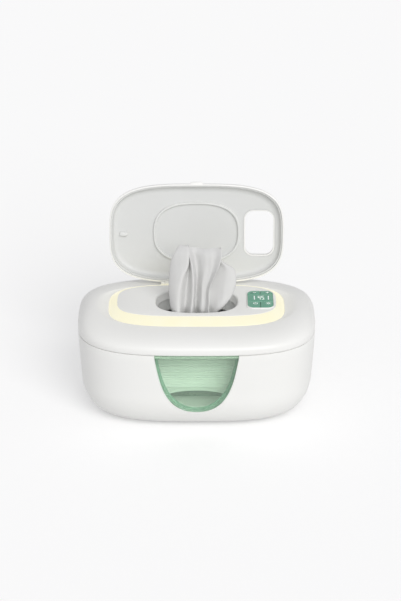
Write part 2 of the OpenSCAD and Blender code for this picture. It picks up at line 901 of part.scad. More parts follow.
module leds() {
    color("#fff2a8")
        for (i = [0 : led_count - 1])
            let (p = arc_xy(led_a, led_b, ring_square, 360 * (i + 0.5) / led_count))
                translate([p[0], p[1], led_board_z + led_board_t + 0.45])
                    cube([2.2, 2.2, 0.9], center = true);
}

// Deck with the wipe opening, its lip and the panel's hole
open_a = opening_w / 2;
open_b = opening_d / 2;
lip_t = 1.6;
lip_lean = 1.6;
panel_r = 8;
panel_y = 1;
flange_w = 0.8;
deck_post_x = open_a + 12.6;
deck_post_y = top_half_d - 7.6;
deck_post_r = 2.6;
board_pad_r = 1.2;
board_pad_x = 6;
board_pad_y = panel_d / 2 + flange_w + fit + board_pad_r;
board_top = deck_z - deck_t - 3.4;

module deck() {
    color(white)
        difference() {
            union() {
                skin_loop([
                    ring(top_half_w - fit, top_half_d - fit, ring_square, deck_z - deck_t),
                    ring(top_half_w - fit, top_half_d - fit, ring_square, deck_z),
                    ring(open_a + 2.6, open_b + 2.6, opening_square, deck_z),
                    ring(open_a + 0.8, open_b + 0.8, opening_square, deck_z - 0.7),
                    ring(open_a, open_b, opening_square, deck_z - 2.4),
                    ring(open_a - lip_lean, open_b - lip_lean, opening_square, lip_z),
                    ring(open_a - lip_lean + lip_t, open_b - lip_lean + lip_t, opening_square, lip_z),
                    ring(open_a + 1.8, open_b + 1.8, opening_square, deck_z - deck_t - 0.6),
                    ring(open_a + 3, open_b + 3, opening_square, deck_z - deck_t)
                ]);
                // Posts down to the liner, and pads for the control board
                at_corners(deck_post_x, deck_post_y)
                    translate([0, 0, liner_top + 0.1])
                        cylinder(r = deck_post_r, h = deck_z - deck_t - liner_top);
                translate([panel_x, panel_y, board_top + 0.05])
                    at_corners(board_pad_x, board_pad_y)
                        cylinder(r = board_pad_r, h = deck_z - deck_t - board_top);
            }
            translate([panel_x, panel_y, deck_z - deck_t - 1])
                rounded_plate(panel_w + fit, panel_d + fit, panel_r, deck_t + 2);
            at_corners(deck_post_x, deck_post_y)
                translate([0, 0, liner_top - 1])
                    cylinder(r = screw_r + pin_play, h = 10);
        }
}

// Liner under the cover, with a throat up to the deck's lip
throat_gap = 0.4;
throat_a = open_a - lip_lean + lip_t + throat_gap;
throat_b = open_b - lip_lean + lip_t + throat_gap;
throat_t = 1.6;
liner_in = tongue_in + tongue_t + 0.7;
module cover_liner() {
    color(inner_white)
        difference() {
            union() {
                translate([0, 0, liner_z])
                    linear_extrude(liner_t)
                        polygon(outline(half_w - liner_in, half_d - liner_in, body_square,
                            hinge_y - 6.6));
                translate([0, 0, liner_z])
                    linear_extrude(lip_z + 0.6 - liner_z)
                        polygon(outline(throat_a + throat_t, throat_b + throat_t, opening_square));
                // Rests for the LED board
                for (sx = [-1, 1]) {
                    translate([sx * (led_a - 0.4), 0, liner_top - eps])
                        cylinder(r = 2.4, h = led_board_z - liner_top);
                    for (sy = [-1, 1])
                        translate([sx * led_a * 0.64, sy * (led_b - 1.4), liner_top - eps])
                            cylinder(r = 2.4, h = led_board_z - liner_top);
                }
            }
            translate([0, 0, liner_z - 1])
                linear_extrude(40)
                    polygon(outline(throat_a, throat_b, opening_square));
            at_corners(cover_post_x, cover_post_y)
                translate([0, 0, liner_z - 1])
                    cylinder(r = screw_r + 0.3, h = liner_t + 2);
            at_corners(deck_post_x, deck_post_y)
                translate([0, 0, liner_z - 1])
                    cylinder(r = screw_r + 0.3, h = liner_t + 2);
        }
}

// Soft gasket between the liner and the tub's flange
gasket_z = tub_rim_z + 0.25;
gasket_out = 1;
gasket_w = 2.6;
module cover_gasket() {
    color("#c9cccb")
        translate([0, 0, gasket_z])
            linear_extrude(liner_z - gasket_z)
                difference() {
                    polygon(outline(tub_half_w + gasket_out, tub_half_d + gasket_out, tub_square));
                    offset(delta = -gasket_w)
                        polygon(outline(tub_half_w + gasket_out, tub_half_d + gasket_out, tub_square));
                }
}

module cover_screws() {
    color(steel)
        at_corners(cover_post_x, cover_post_y)
            translate([0, 0, liner_z])
                screw(liner_t + screw_bite);
}

module deck_screws() {
    color(steel)
        at_corners(deck_post_x, deck_post_y)
            translate([0, 0, liner_z])
                screw(liner_t + screw_bite);
}

// Control panel
board_half_w = 15;
board_half_d = board_pad_y + board_pad_r + 0.5;
panel_wall = 0.9;
panel_wall_front = 1.4;
key_gap = 0.4;
field_w = panel_w - 2 * panel_wall - 0.3;
field_d = panel_d - 2 * panel_wall_front - 0.3;
field_r = panel_r - 1.2;
front_key_y = -field_d / 2 + front_key_d / 2;
rear_key_y = field_d / 2 - rear_key_d / 2;
key_x = field_w / 4 + key_gap / 4;
key_w = (field_w - key_gap) / 2;
key_top = deck_z + key_proud;
key_t = 2.4;
switch_h = 1.6;
nub_h = 0.5;
stem_bottom = board_top + switch_h + nub_h + key_travel + 0.05;
lens_d = field_d - front_key_d - rear_key_d - 2 * key_gap;
lens_y = (rear_key_y - rear_key_d / 2 + front_key_y + front_key_d / 2) / 2;

module on_panel(x, y, z) {
    translate([panel_x + x, panel_y + y, z])
        children();
}

module control_board() {
    color(board_green)
        difference() {
            on_panel(0, 0, board_top - board_t)
                rounded_plate(2 * board_half_w, 2 * board_half_d, 2, board_t);
            on_panel(0, 0, board_top - board_t - 1)
                linear_extrude(board_t + 2)
                    translate([-board_half_w - 1, 0])
                        square([2, 6], center = true);
        }
}

module tact_switches() {
    color("#3a3d40")
        for (sx = [-1, 1], y = [front_key_y, rear_key_y])
            on_panel(sx * key_x, y, board_top) {
                translate([-2.25, -2.25, 0])
                    cube([4.5, 4.5, switch_h]);
                cylinder(r = 1.1, h = switch_h + nub_h);
            }
}

module display_module() {
    color("#2b2f31")
        on_panel(0, lens_y, board_top)
            translate([-9, -lens_d / 2 + 1.5, 0])
                cube([18, lens_d - 3, key_top - key_t - board_top - 0.1]);
}

module field_piece(w, d, x, y, t) {
    intersection() {
        on_panel(0, 0, key_top - t)
            rounded_plate(field_w, field_d, field_r, t);
        on_panel(x, y, key_top - t / 2)
            cube([w, d, t + 2], center = true);
    }
}

module display_lens() {
    color(green)
        field_piece(field_w, lens_d, 0, lens_y, key_t);
}

module panel_frame() {
    color(white)
        difference() {
            union() {
                on_panel(0, 0, deck_z - deck_t - 1.6)
                    rounded_plate(panel_w, panel_d, panel_r, deck_t + 1.6 + frame_proud);
                on_panel(0, 0, deck_z - deck_t - 1.6)
                    rounded_plate(panel_w + 2 * flange_w, panel_d + 2 * flange_w,
                        panel_r + flange_w, 1.5);
            }
            on_panel(0, 0, deck_z - deck_t - 3)
                rounded_plate(panel_w - 2 * panel_wall, panel_d - 2 * panel_wall_front,
                    panel_r - panel_wall, deck_t + 8);
        }
}

module key(sx, y, d) {
    color(green) {
        field_piece(key_w, d, sx * key_x, y, key_t);
        on_panel(sx * key_x, y, stem_bottom)
            cylinder(r = 1.6, h = key_top - key_t / 2 - stem_bottom);
    }
}

module key_front_left() {
    key(-1, front_key_y, front_key_d);
}

module key_front_right() {
    key(1, front_key_y, front_key_d);
}

module key_rear_left() {
    key(-1, rear_key_y, rear_key_d);
}

module key_rear_right() {
    key(1, rear_key_y, rear_key_d);
}

// Flip lid, drawn closed and then turned back about its hinge
module opened() {
    translate([0, lid_axis_y, lid_axis_z])
        rotate([-lid_angle, 0, 0])
            translate([0, -lid_axis_y, -lid_axis_z])
                children();
}

module lid_hinge_pins() {
    color(steel)
        on_lid_axis()
            along_x(-lid_knuckle / 2 - ear_play - ear_w + 0.3,
                lid_knuckle + 2 * (ear_play + ear_w) - 0.6, lid_pin_d / 2);
}

lid_crown_z = lid_rim_z + lid_h;
lid_face_z = lid_rim_z + lid_dish;
function lid_ring(inset, rise) =
    ring(lid_half_w - inset, lid_half_d - inset, ring_square, lid_rim_z + rise);
lid_window_r = 9;
liner_rim = 1.8;

module lid_window_hole(grow) {
    translate([panel_x, panel_y, lid_rim_z - 5])
        rounded_plate(lid_window_w + 2 * grow, lid_window_d + 2 * grow, lid_window_r + grow, lid_h + 10);
}

lid_wall_top = lid_h - 5.6;
tab_proud = 2.2;
module lid_outside() {
    skin([
        lid_ring(0, 0), lid_ring(0, 1.5), lid_ring(0.5, lid_wall_top - 2.6), lid_ring(2, lid_wall_top),
        lid_ring(5.4, lid_wall_top + 2.8), lid_ring(12, lid_wall_top + 4.3), lid_ring(26, lid_h - 0.4),
        lid_ring(40, lid_h)
    ]);
}

module lid_hollow() {
    skin([
        lid_ring(lid_wall, -1), lid_ring(lid_wall, 1.5), lid_ring(lid_wall + 0.5, lid_wall_top - 2.8),
        lid_ring(lid_wall + 1.8, lid_wall_top - 0.9), lid_ring(6.6, lid_wall_top + 1.1),
        lid_ring(13, lid_wall_top + 2.5), lid_ring(40, lid_h - lid_wall)
    ]);
}

module lid_shell() {
    color(white)
        opened()
            difference() {
                union() {
                    difference() {
                        lid_outside();
                        difference() {
                            lid_hollow();
                            // Collar round the window, down to the liner
                            difference() {
                                intersection() {
                                    lid_window_hole(1.6);
                                    translate([0, 0, lid_face_z + 20])
                                        cube([lid_w, lid_d, 40], center = true);
                                }
                                lid_window_hole(0);
                            }
                        }
                    }
                    // Knuckles and finger tab
                    on_lid_axis()
                        along_x(-lid_knuckle / 2, lid_knuckle, lid_knuckle_d / 2);
                    translate([0, -lid_half_d, lid_rim_z + 0.2])
                        linear_extrude(2.2)
                            intersection() {
                                rounded_rect(tab_w, 2 * tab_proud, 1.4);
                                translate([0, lid_wall * 0.8 - tab_w])
                                    square(2 * tab_w, center = true);
                            }
                }
                lid_window_hole(0);
                on_lid_axis() {
                    along_x(-lid_knuckle, 2 * lid_knuckle, lid_pin_d / 2 + pin_play);
                    for (x = [-lid_knuckle / 2 - 2 * ear_play - ear_w, lid_knuckle / 2 + 0.01])
                        along_x(x, ear_w + 2 * ear_play, ear_r + 0.3);
                }
            }
}

// Liner of the lid: the smooth inside face with a rounded edge
module lid_liner() {
    color(inner_white)
        opened()
            difference() {
                skin([
                    lid_ring(8.6, lid_dish), lid_ring(5.6, lid_dish - 0.7),
                    lid_ring(lid_wall + 2.4, lid_dish - 2.6),
                    lid_ring(lid_wall + 1.6, liner_rim), lid_ring(lid_wall + 0.15, liner_rim),
                    lid_ring(lid_wall + 0.6, lid_wall_top - 4),
                    lid_ring(lid_wall + 2.3, lid_wall_top - 1.6),
                    lid_ring(7.2, lid_dish + 1.2)
                ]);
                lid_window_hole(1.8);
                on_lid_axis()
                    for (x = [-lid_knuckle / 2 - 2 * ear_play - ear_w, lid_knuckle / 2 + 0.01])
                        along_x(x, ear_w + 2 * ear_play, ear_r + 0.3);
            }
}

bead_a = open_a + 2.4;
bead_b = open_b + 2.2;
bead_z = deck_z + seat;
module lid_seal() {
    color("#d9dcda")
        opened()
            skin_loop([
                ring(bead_a - bead_w * 0.2, bead_b - bead_w * 0.2, opening_square, bead_z),
                ring(bead_a + bead_w * 0.2, bead_b + bead_w * 0.2, opening_square, bead_z),
                ring(bead_a + bead_w / 2, bead_b + bead_w / 2, opening_square, lid_face_z),
                ring(bead_a - bead_w / 2, bead_b - bead_w / 2, opening_square, lid_face_z)
            ]);
}

bumper_x = -lid_half_w + 15.4;
bumper_gap = 0.4;
module lid_bumper() {
    color("#d9dcda")
        opened()
            translate([bumper_x, 1.8, deck_z + bumper_gap])
                rounded_plate(8.8, 4.6, 2.2, lid_face_z - deck_z - bumper_gap);
}

// Pulled-up wipe: a pleated bunch that leans on the front of the opening and fans out above it
tuft_pleats = 7;
tuft_sides = 4 * tuft_pleats;
tuft_foot_y = -open_b + lip_lean + seat;
tuft_sections = [
    // rise from the lip, middle x, middle y from the foot, half width, half depth, pleat
    [-4, -1, 17, 20, 13, 0.02],
    [1, -1, 19, 24, 19, 0.04],
    [9, 0, 18, 26, 19, 0.06],
    [20, 3, 20, 31, 16, 0.08],
    [32, 8, 22, 36, 14, 0.1],
    [46, 8, 25, 34, 13, 0.12],
    [58, 3, 27, 27, 11, 0.12],
    [68, 1, 28, 21, 8, 0.1],
    [74, 0, 28, 15, 4, 0.06]
];
module wipe_tuft() {
    color("#fdfdfd")
        skin([
            for (s = tuft_sections) [
                for (i = [0 : tuft_sides - 1])
                    let (t = 360 * i / tuft_sides)
                    let (k = 1 + s[5] * cos(tuft_pleats * t))
                    [s[1] + s[3] * k * cos(t), tuft_foot_y + s[2] + s[4] * k * sin(t), lip_z + s[0]]
            ]
        ]);
}

base_shell();
rubber_feet();
front_window();
window_gasket();
inner_tub();
tub_flange();
tub_frame();
tub_screws();
heater_plate();
heater_film();
insulation_pad();
thermal_fuse();
temperature_sensor();
power_board();
dc_inlet();
dc_pin();
heater_leads();
moisture_pad();
wipe_tray();
wipe_stack();
cover_hinge_pins();
top_cover();
light_ring();
led_board();
leds();
deck();
cover_liner();
cover_gasket();
cover_screws();
deck_screws();
control_board();
tact_switches();
display_module();
display_lens();
panel_frame();
key_front_left();
key_front_right();
key_rear_left();
key_rear_right();
lid_hinge_pins();
lid_shell();
lid_liner();
lid_seal();
lid_bumper();
wipe_tuft();
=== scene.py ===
# %% [markdown]
# # A baby wipe warmer, built in cells
#
# The warmer is a white moulded housing with a green front window, a cover that swells out over the
# seam, a glowing bevel round a flat deck, a wipe pulled up through the deck's opening, a green control
# panel, and a flip lid that stands open behind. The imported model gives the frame: every piece here
# takes its place from the same millimetres as the CAD source, and rides on one of its bodies.

# %% Load the frame and clear the stock scene
import json
import math

import bmesh
import bpy
import numpy as np
from mathutils import Matrix, Vector

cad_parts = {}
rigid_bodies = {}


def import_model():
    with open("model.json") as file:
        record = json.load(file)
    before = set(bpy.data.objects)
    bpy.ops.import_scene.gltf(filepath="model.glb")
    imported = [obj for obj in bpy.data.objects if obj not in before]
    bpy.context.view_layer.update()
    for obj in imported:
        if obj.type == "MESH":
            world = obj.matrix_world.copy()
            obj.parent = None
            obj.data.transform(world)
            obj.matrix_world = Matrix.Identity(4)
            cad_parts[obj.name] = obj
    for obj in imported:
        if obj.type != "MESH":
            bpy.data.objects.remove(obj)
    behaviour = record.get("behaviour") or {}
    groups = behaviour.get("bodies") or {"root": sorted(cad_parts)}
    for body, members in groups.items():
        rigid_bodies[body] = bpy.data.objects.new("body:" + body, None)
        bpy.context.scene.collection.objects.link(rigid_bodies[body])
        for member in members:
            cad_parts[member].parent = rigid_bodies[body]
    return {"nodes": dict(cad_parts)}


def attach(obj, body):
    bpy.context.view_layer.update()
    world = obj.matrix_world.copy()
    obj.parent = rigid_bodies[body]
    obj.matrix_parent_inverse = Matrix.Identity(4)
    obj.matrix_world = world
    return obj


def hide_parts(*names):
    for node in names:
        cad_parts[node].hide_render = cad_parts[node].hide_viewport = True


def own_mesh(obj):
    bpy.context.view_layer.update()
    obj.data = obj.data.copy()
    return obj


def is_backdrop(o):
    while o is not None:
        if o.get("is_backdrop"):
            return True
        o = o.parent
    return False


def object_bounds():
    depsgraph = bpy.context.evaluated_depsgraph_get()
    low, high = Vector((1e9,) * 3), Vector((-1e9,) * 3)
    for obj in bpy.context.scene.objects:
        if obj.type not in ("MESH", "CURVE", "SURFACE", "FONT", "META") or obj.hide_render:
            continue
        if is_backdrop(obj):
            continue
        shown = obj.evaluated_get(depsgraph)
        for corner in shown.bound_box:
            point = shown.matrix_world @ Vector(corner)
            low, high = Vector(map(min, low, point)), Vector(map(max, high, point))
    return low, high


for stock in list(bpy.data.objects):
    bpy.data.objects.remove(stock)

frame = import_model()
NODE = frame["nodes"]
scene = bpy.context.scene
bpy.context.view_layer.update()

# %% [markdown]
# ## The sizes that the pieces share
#
# These are the millimetres of the CAD source; a size that one step needs stands in that step. The
# outline of the housing, of the bevel and of the lid is a superellipse, a rounded box whose squareness
# is one number, because the photograph shows no straight stretch that ends in a round corner: the
# curve tightens slowly all the way.

# %% Sizes in millimetres
MM = 0.001

HALF_W, HALF_D, BODY_SQUARE = 125.0, 89.0, 3.1
WALL, BELLY_Z, REAR_Y = 2.6, 95.0, 85.8
BASE_TOP, COVER_BOTTOM, LEDGE_Z = 89.6, 90.4, 86.0
DECK_Z = 113.0
print("housing:", 2 * HALF_W, "x", 2 * HALF_D, "mm, deck at", DECK_Z, "mm")

# %% [markdown]
# ## Camera
#
# The picture is taken with a long lens from about two and a half metres, so the far lid hardly shrinks
# against the near front. The lens is given by its focal length in pixels, fitted to the outline of the
# housing. A small shift puts the warmer as low in the tall frame as it stands in the photograph.

# %% Camera
PHOTO_W, PHOTO_H = 401, 601
FOCAL_PX = 2348.0
DISTANCE, ELEVATION = 2.5, math.radians(25.5)
AIM = Vector((0, 0, 0.060))
AIM_PX, AIM_PY = 196.6, 345.7

camera_data = bpy.data.cameras.new("camera")
camera = bpy.data.objects.new("camera", camera_data)
scene.collection.objects.link(camera)
camera_data.sensor_fit = "VERTICAL"
camera_data.sensor_width = camera_data.sensor_height = 36.0
camera_data.lens = FOCAL_PX / PHOTO_H * camera_data.sensor_height
camera_data.shift_x = (PHOTO_W / 2 - AIM_PX) / PHOTO_H
camera_data.shift_y = (AIM_PY - PHOTO_H / 2) / PHOTO_H
camera_data.clip_start, camera_data.clip_end = 0.1, 20
to_camera = Vector((0, -math.cos(ELEVATION), math.sin(ELEVATION)))
camera.location = AIM + DISTANCE * to_camera
camera.rotation_euler = (-to_camera).to_track_quat("-Z", "Y").to_euler()
scene.camera = camera
print("lens", round(camera_data.lens, 1), "mm, shift", round(camera_data.shift_y, 4))

# %% [markdown]
# ## Colour and nodes
#
# Colours are picked as sRGB hex values, as an eye or a paint chart gives them, and Blender shades in
# linear light, so one function turns them over. One more function adds a node with its settings,
# socket values and links, which keeps each material a short list.

# %% Helpers for colours and nodes
def srgb(code, alpha=1.0):
    """Linear colour of an sRGB hex value."""
    parts = [int(code[i : i + 2], 16) / 255 for i in (1, 3, 5)]
    linear = [c / 12.92 if c <= 0.04045 else ((c + 0.055) / 1.055) ** 2.4 for c in parts]
    return (*linear, alpha)


def add(tree, kind, links=None, values=None, **settings):
    """Adds a node, sets its properties and sockets, and links outputs to its inputs."""
    node = tree.nodes.new(kind)
    for name, value in settings.items():
        setattr(node, name, value)
    for socket, value in (values or {}).items():
        node.inputs[socket].default_value = value
    for socket, output in (links or {}).items():
        tree.links.new(output, node.inputs[socket])
    return node


def new_material(name, **constants):
    """An empty material with a Principled surface, whose constant sockets are set by name."""
    material = bpy.data.materials.new(name)
    material.use_nodes = True
    tree = material.node_tree
    tree.nodes.clear()
    surface = add(tree, "ShaderNodeBsdfPrincipled")
    for socket, value in constants.items():
        surface.inputs[socket.replace("_", " ")].default_value = value
    add(tree, "ShaderNodeOutputMaterial", {"Surface": surface.outputs["BSDF"]})
    return material, tree, surface


print("middle grey in linear light:", round(srgb("#808080")[0], 3))

# %% [markdown]
# ## White ABS, moulded satin
#
# Housings like this are injection moulded in ABS, in a tool whose steel is lightly spark eroded. The
# real grain is about 0.1 mm across, too fine to show here, so it is drawn at 0.9 mm with a very small
# relief. It gives the eye a soft, even sheen instead of a mirror. A slow change of tone over some
# 60 mm stands for the flow of the plastic. One function makes each moulded polymer of the warmer,
# because they differ only in tone, gloss and grain.

# %% Moulded polymers
def moulded(name, light, dark, rough, grain_mm, relief_mm, **constants):
    """A moulded polymer with a fine tool grain and a slow change of tone."""
    material, tree, surface = new_material(name, **constants)
    place = add(tree, "ShaderNodeTexCoord")
    flow = add(
        tree, "ShaderNodeTexNoise", {"Vector": place.outputs["Object"]},
        {"Scale": 1 / (60 * MM), "Detail": 1.0},
    )
    tone = add(
        tree, "ShaderNodeMix", {"Factor": flow.outputs["Fac"]},
        {"A": srgb(dark), "B": srgb(light)}, data_type="RGBA",
    )
    tree.links.new(tone.outputs["Result"], surface.inputs["Base Color"])
    tool = add(
        tree, "ShaderNodeTexNoise", {"Vector": place.outputs["Object"]},
        {"Scale": 1 / (grain_mm * MM), "Detail": 2.0},
    )
    gloss = add(
        tree, "ShaderNodeMapRange", {"Value": tool.outputs["Fac"]},
        {"From Min": 0.3, "From Max": 0.7, "To Min": rough - 0.05, "To Max": rough + 0.05},
    )
    tree.links.new(gloss.outputs["Result"], surface.inputs["Roughness"])
    relief = add(
        tree, "ShaderNodeBump", {"Height": tool.outputs["Fac"]},
        {"Distance": relief_mm * MM, "Strength": 1.0},
    )
    tree.links.new(relief.outputs["Normal"], surface.inputs["Normal"])
    return material


ABS_WHITE = moulded("abs_white_satin", "#f8f8f6", "#f4f4f1", 0.38, 0.9, 0.004, IOR=1.53)
# The same white ABS painted darker: painted shade for the lid's inside face.
ABS_WHITE_SHADED = moulded("abs_white_painted_shade", "#e1e2e1", "#dadbd9", 0.42, 0.9, 0.005, IOR=1.53)
PP_WHITE = moulded("polypropylene_white_matt", "#f0f0ee", "#eaebe9", 0.52, 1.1, 0.008, IOR=1.49)
SILICONE_PALE = moulded("silicone_pale", "#e9eae8", "#e0e1df", 0.45, 0.8, 0.004, IOR=1.42)
SILICONE_GREEN = moulded("silicone_green", "#7fa394", "#6f9484", 0.45, 0.8, 0.004, IOR=1.42)
RUBBER_GREY = moulded("nitrile_rubber_grey", "#8f9193", "#7f8183", 0.62, 0.7, 0.012, IOR=1.52)
PBT_BLACK = moulded("pbt_black", "#33363a", "#26292c", 0.42, 0.6, 0.006, IOR=1.57)
EPOXY_BLACK = moulded("epoxy_black", "#1d1f21", "#151618", 0.18, 2.0, 0.010, IOR=1.55)
GREEN_GLOSS = moulded("polycarbonate_green_gloss", "#6fae94", "#66a58b", 0.16, 1.2, 0.002, IOR=1.58)
WIRE_RED = moulded("silicone_wire_red", "#b6473c", "#a33a31", 0.40, 0.5, 0.004, IOR=1.42)
print("materials so far:", len(bpy.data.materials))

# %% [markdown]
# ## Clear green polycarbonate
#
# The front window is one clear moulding, tinted green right through. A tinted clear plastic is a
# refracting surface with a coloured base, polished, so its edges gather the light and look paler than
# its face. A pane this thin lets daylight straight through, so a shadow ray passes it unbent, with
# only a little of the tint, and the wipes behind it are lit as they are in a bright room. The pigment
# scatters a little of the light as well, which shows as a faint haze in the face and at the edges.

# %% Clear and lit plastics
GREEN_CLEAR, tree, surface = new_material(
    "polycarbonate_green_clear",
    Base_Color=srgb("#dfeee0"),
    Roughness=0.03,
    IOR=1.30,
    Transmission_Weight=1.0,
)
place = add(tree, "ShaderNodeTexCoord")
ripple = add(
    tree, "ShaderNodeTexNoise", {"Vector": place.outputs["Object"]},
    {"Scale": 1 / (14 * MM), "Detail": 1.0},
)
polish = add(
    tree, "ShaderNodeBump", {"Height": ripple.outputs["Fac"]}, {"Distance": 0.02 * MM, "Strength": 0.6}
)
tree.links.new(polish.outputs["Normal"], surface.inputs["Normal"])
rays = add(tree, "ShaderNodeLightPath")
passing = add(tree, "ShaderNodeBsdfTransparent", values={"Color": srgb("#f4fbf6")})
haze = add(tree, "ShaderNodeBsdfDiffuse", values={"Color": srgb("#cfe9d4")})
body = add(tree, "ShaderNodeMixShader", values={"Fac": 0.15})
tree.links.new(surface.outputs["BSDF"], body.inputs[1])
tree.links.new(haze.outputs["BSDF"], body.inputs[2])
pane = add(tree, "ShaderNodeMixShader", {"Fac": rays.outputs["Is Shadow Ray"]})
tree.links.new(body.outputs["Shader"], pane.inputs[1])
tree.links.new(passing.outputs["BSDF"], pane.inputs[2])
tree.links.new(pane.outputs["Shader"], tree.nodes["Material Output"].inputs["Surface"])

# The bevel is an opal diffuser, lit warm white from 28 lamps under it. The lamps are 13 mm apart, so
# close under the opal that only a faint change of strength is left of them.
DIFFUSER_LIT, tree, surface = new_material(
    "acrylic_opal_lit", Base_Color=srgb("#a6a698"), Roughness=0.35, IOR=1.49, Emission_Strength=0.63
)
place = add(tree, "ShaderNodeTexCoord")
lamps = add(
    tree, "ShaderNodeTexNoise", {"Vector": place.outputs["Object"]},
    {"Scale": 1 / (16 * MM), "Detail": 0.0},
)
shine = add(
    tree, "ShaderNodeMix", {"Factor": lamps.outputs["Fac"]},
    {"A": srgb("#fff6cd"), "B": srgb("#fffade")}, data_type="RGBA",
)
tree.links.new(shine.outputs["Result"], surface.inputs["Emission Color"])

PHOSPHOR, tree, surface = new_material(
    "led_phosphor", Base_Color=srgb("#f4d77a"), Roughness=0.3, Emission_Strength=2.0
)
place = add(tree, "ShaderNodeTexCoord")
powder = add(
    tree, "ShaderNodeTexNoise", {"Vector": place.outputs["Object"]},
    {"Scale": 1 / (0.4 * MM), "Detail": 1.0},
)
shine = add(
    tree, "ShaderNodeMix", {"Factor": powder.outputs["Fac"]},
    {"A": srgb("#ffe49a"), "B": srgb("#fff4cf")}, data_type="RGBA",
)
tree.links.new(shine.outputs["Result"], surface.inputs["Emission Color"])
print("clear and lit plastics made")

# %% [markdown]
# ## Soft materials
#
# The wipes are spunlace: fibres tangled by water jets into a cloth with no threads, moist, so it is
# matt with a faint cling of light at the edges. The jets leave fine rows about 1 mm apart. The
# sponge under the tray is open celled, about 1.5 mm a cell, and the pad under the heater is a
# pressed needle felt.

# %% Wipe, sponge and felt
def spunlace(name, light, dark):
    """Spunlace cloth: tangled fibres, damp patches and the fine rows of the water jets."""
    material, tree, surface = new_material(
        name, Roughness=0.82, IOR=1.4, Sheen_Weight=0.15,
    )
    place = add(tree, "ShaderNodeTexCoord")
    fibre = add(
        tree, "ShaderNodeTexNoise", {"Vector": place.outputs["Object"]},
        {"Scale": 1 / (1.6 * MM), "Detail": 4.0, "Roughness": 0.7},
    )
    damp = add(
        tree, "ShaderNodeTexNoise", {"Vector": place.outputs["Object"]},
        {"Scale": 1 / (22 * MM), "Detail": 2.0},
    )
    tone = add(
        tree, "ShaderNodeMix", {"Factor": damp.outputs["Fac"]},
        {"A": srgb(dark), "B": srgb(light)}, data_type="RGBA",
    )
    tree.links.new(tone.outputs["Result"], surface.inputs["Base Color"])
    jets = add(
        tree, "ShaderNodeTexWave", {"Vector": place.outputs["Object"]},
        {"Scale": 1 / (2 * math.pi * 1.0 * MM) / 3.2, "Distortion": 1.5, "Detail": 1.0},
        wave_type="BANDS", bands_direction="X",
    )
    cloth = add(
        tree, "ShaderNodeMix", {"A": fibre.outputs["Fac"], "B": jets.outputs["Fac"]}, {"Factor": 0.3},
        data_type="FLOAT",
    )
    relief = add(
        tree, "ShaderNodeBump", {"Height": cloth.outputs["Result"]},
        {"Distance": 0.25 * MM, "Strength": 0.7},
    )
    tree.links.new(relief.outputs["Normal"], surface.inputs["Normal"])
    return material


# The pulled-up wipe is the same cloth as the stack, painted greyer: painted shade.
WIPE_SHADED = spunlace("spunlace_wipe_painted_shade", "#dfdfde", "#d5d5d4")
WIPE_STACKED = spunlace("spunlace_wipe_stacked", "#fdfdfc", "#f6f6f5")

SPONGE, tree, surface = new_material("cellulose_sponge", Roughness=0.85, IOR=1.4)
place = add(tree, "ShaderNodeTexCoord")
cells = add(
    tree, "ShaderNodeTexVoronoi", {"Vector": place.outputs["Object"]}, {"Scale": 1 / (3.0 * MM)}, feature="F1"
)
# Painted shade: the dark grey-green is darkest in the middle of each cell, where the bump makes a pit.
tone = add(
    tree, "ShaderNodeMix", {"Factor": cells.outputs["Distance"]},
    {"A": srgb("#3d4843"), "B": srgb("#76847c")}, data_type="RGBA",
)
tree.links.new(tone.outputs["Result"], surface.inputs["Base Color"])
relief = add(
    tree, "ShaderNodeBump", {"Height": cells.outputs["Distance"]},
    {"Distance": 0.6 * MM, "Strength": 0.9},
)
tree.links.new(relief.outputs["Normal"], surface.inputs["Normal"])

FELT, tree, surface = new_material("needle_felt", Roughness=0.92, IOR=1.4, Sheen_Weight=0.2)
place = add(tree, "ShaderNodeTexCoord")
fibre = add(
    tree, "ShaderNodeTexNoise", {"Vector": place.outputs["Object"]},
    {"Scale": 1 / (2.0 * MM), "Detail": 6.0, "Roughness": 0.8},
)
tone = add(
    tree, "ShaderNodeMix", {"Factor": fibre.outputs["Fac"]},
    {"A": srgb("#c9c4b6"), "B": srgb("#ece9df")}, data_type="RGBA",
)
tree.links.new(tone.outputs["Result"], surface.inputs["Base Color"])
relief = add(
    tree, "ShaderNodeBump", {"Height": fibre.outputs["Fac"]}, {"Distance": 0.5 * MM, "Strength": 0.8}
)
tree.links.new(relief.outputs["Normal"], surface.inputs["Normal"])
print("soft materials made")

# %% [markdown]
# ## Metals
#
# Screws are zinc plated, pins are ground wire, the heater plate is rolled sheet and the fuse has a
# tinned can. A metal is all reflection, so its look is its colour and the marks that scatter the
# reflection: drawing and rolling leave fine lines in one direction, drawn here by stretching a noise
# along it.

# %% Metals
def worked_metal(name, light, dark, rough, line_mm, stretch):
    """A metal with marks that run the way it was drawn, turned or rolled."""
    material, tree, surface = new_material(name, Metallic=1.0)
    place = add(tree, "ShaderNodeTexCoord")
    along = add(tree, "ShaderNodeMapping", {"Vector": place.outputs["Object"]}, {"Scale": stretch})
    lines = add(
        tree, "ShaderNodeTexNoise", {"Vector": along.outputs["Vector"]},
        {"Scale": 1 / (line_mm * MM), "Detail": 3.0},
    )
    tone = add(
        tree, "ShaderNodeMix", {"Factor": lines.outputs["Fac"]},
        {"A": srgb(dark), "B": srgb(light)}, data_type="RGBA",
    )
    tree.links.new(tone.outputs["Result"], surface.inputs["Base Color"])
    gloss = add(
        tree, "ShaderNodeMapRange", {"Value": lines.outputs["Fac"]},
        {"From Min": 0.3, "From Max": 0.7, "To Min": rough - 0.06, "To Max": rough + 0.06},
    )
    tree.links.new(gloss.outputs["Result"], surface.inputs["Roughness"])
    relief = add(
        tree, "ShaderNodeBump", {"Height": lines.outputs["Fac"]},
        {"Distance": 0.01 * MM, "Strength": 0.5},
    )
    tree.links.new(relief.outputs["Normal"], surface.inputs["Normal"])
    return material


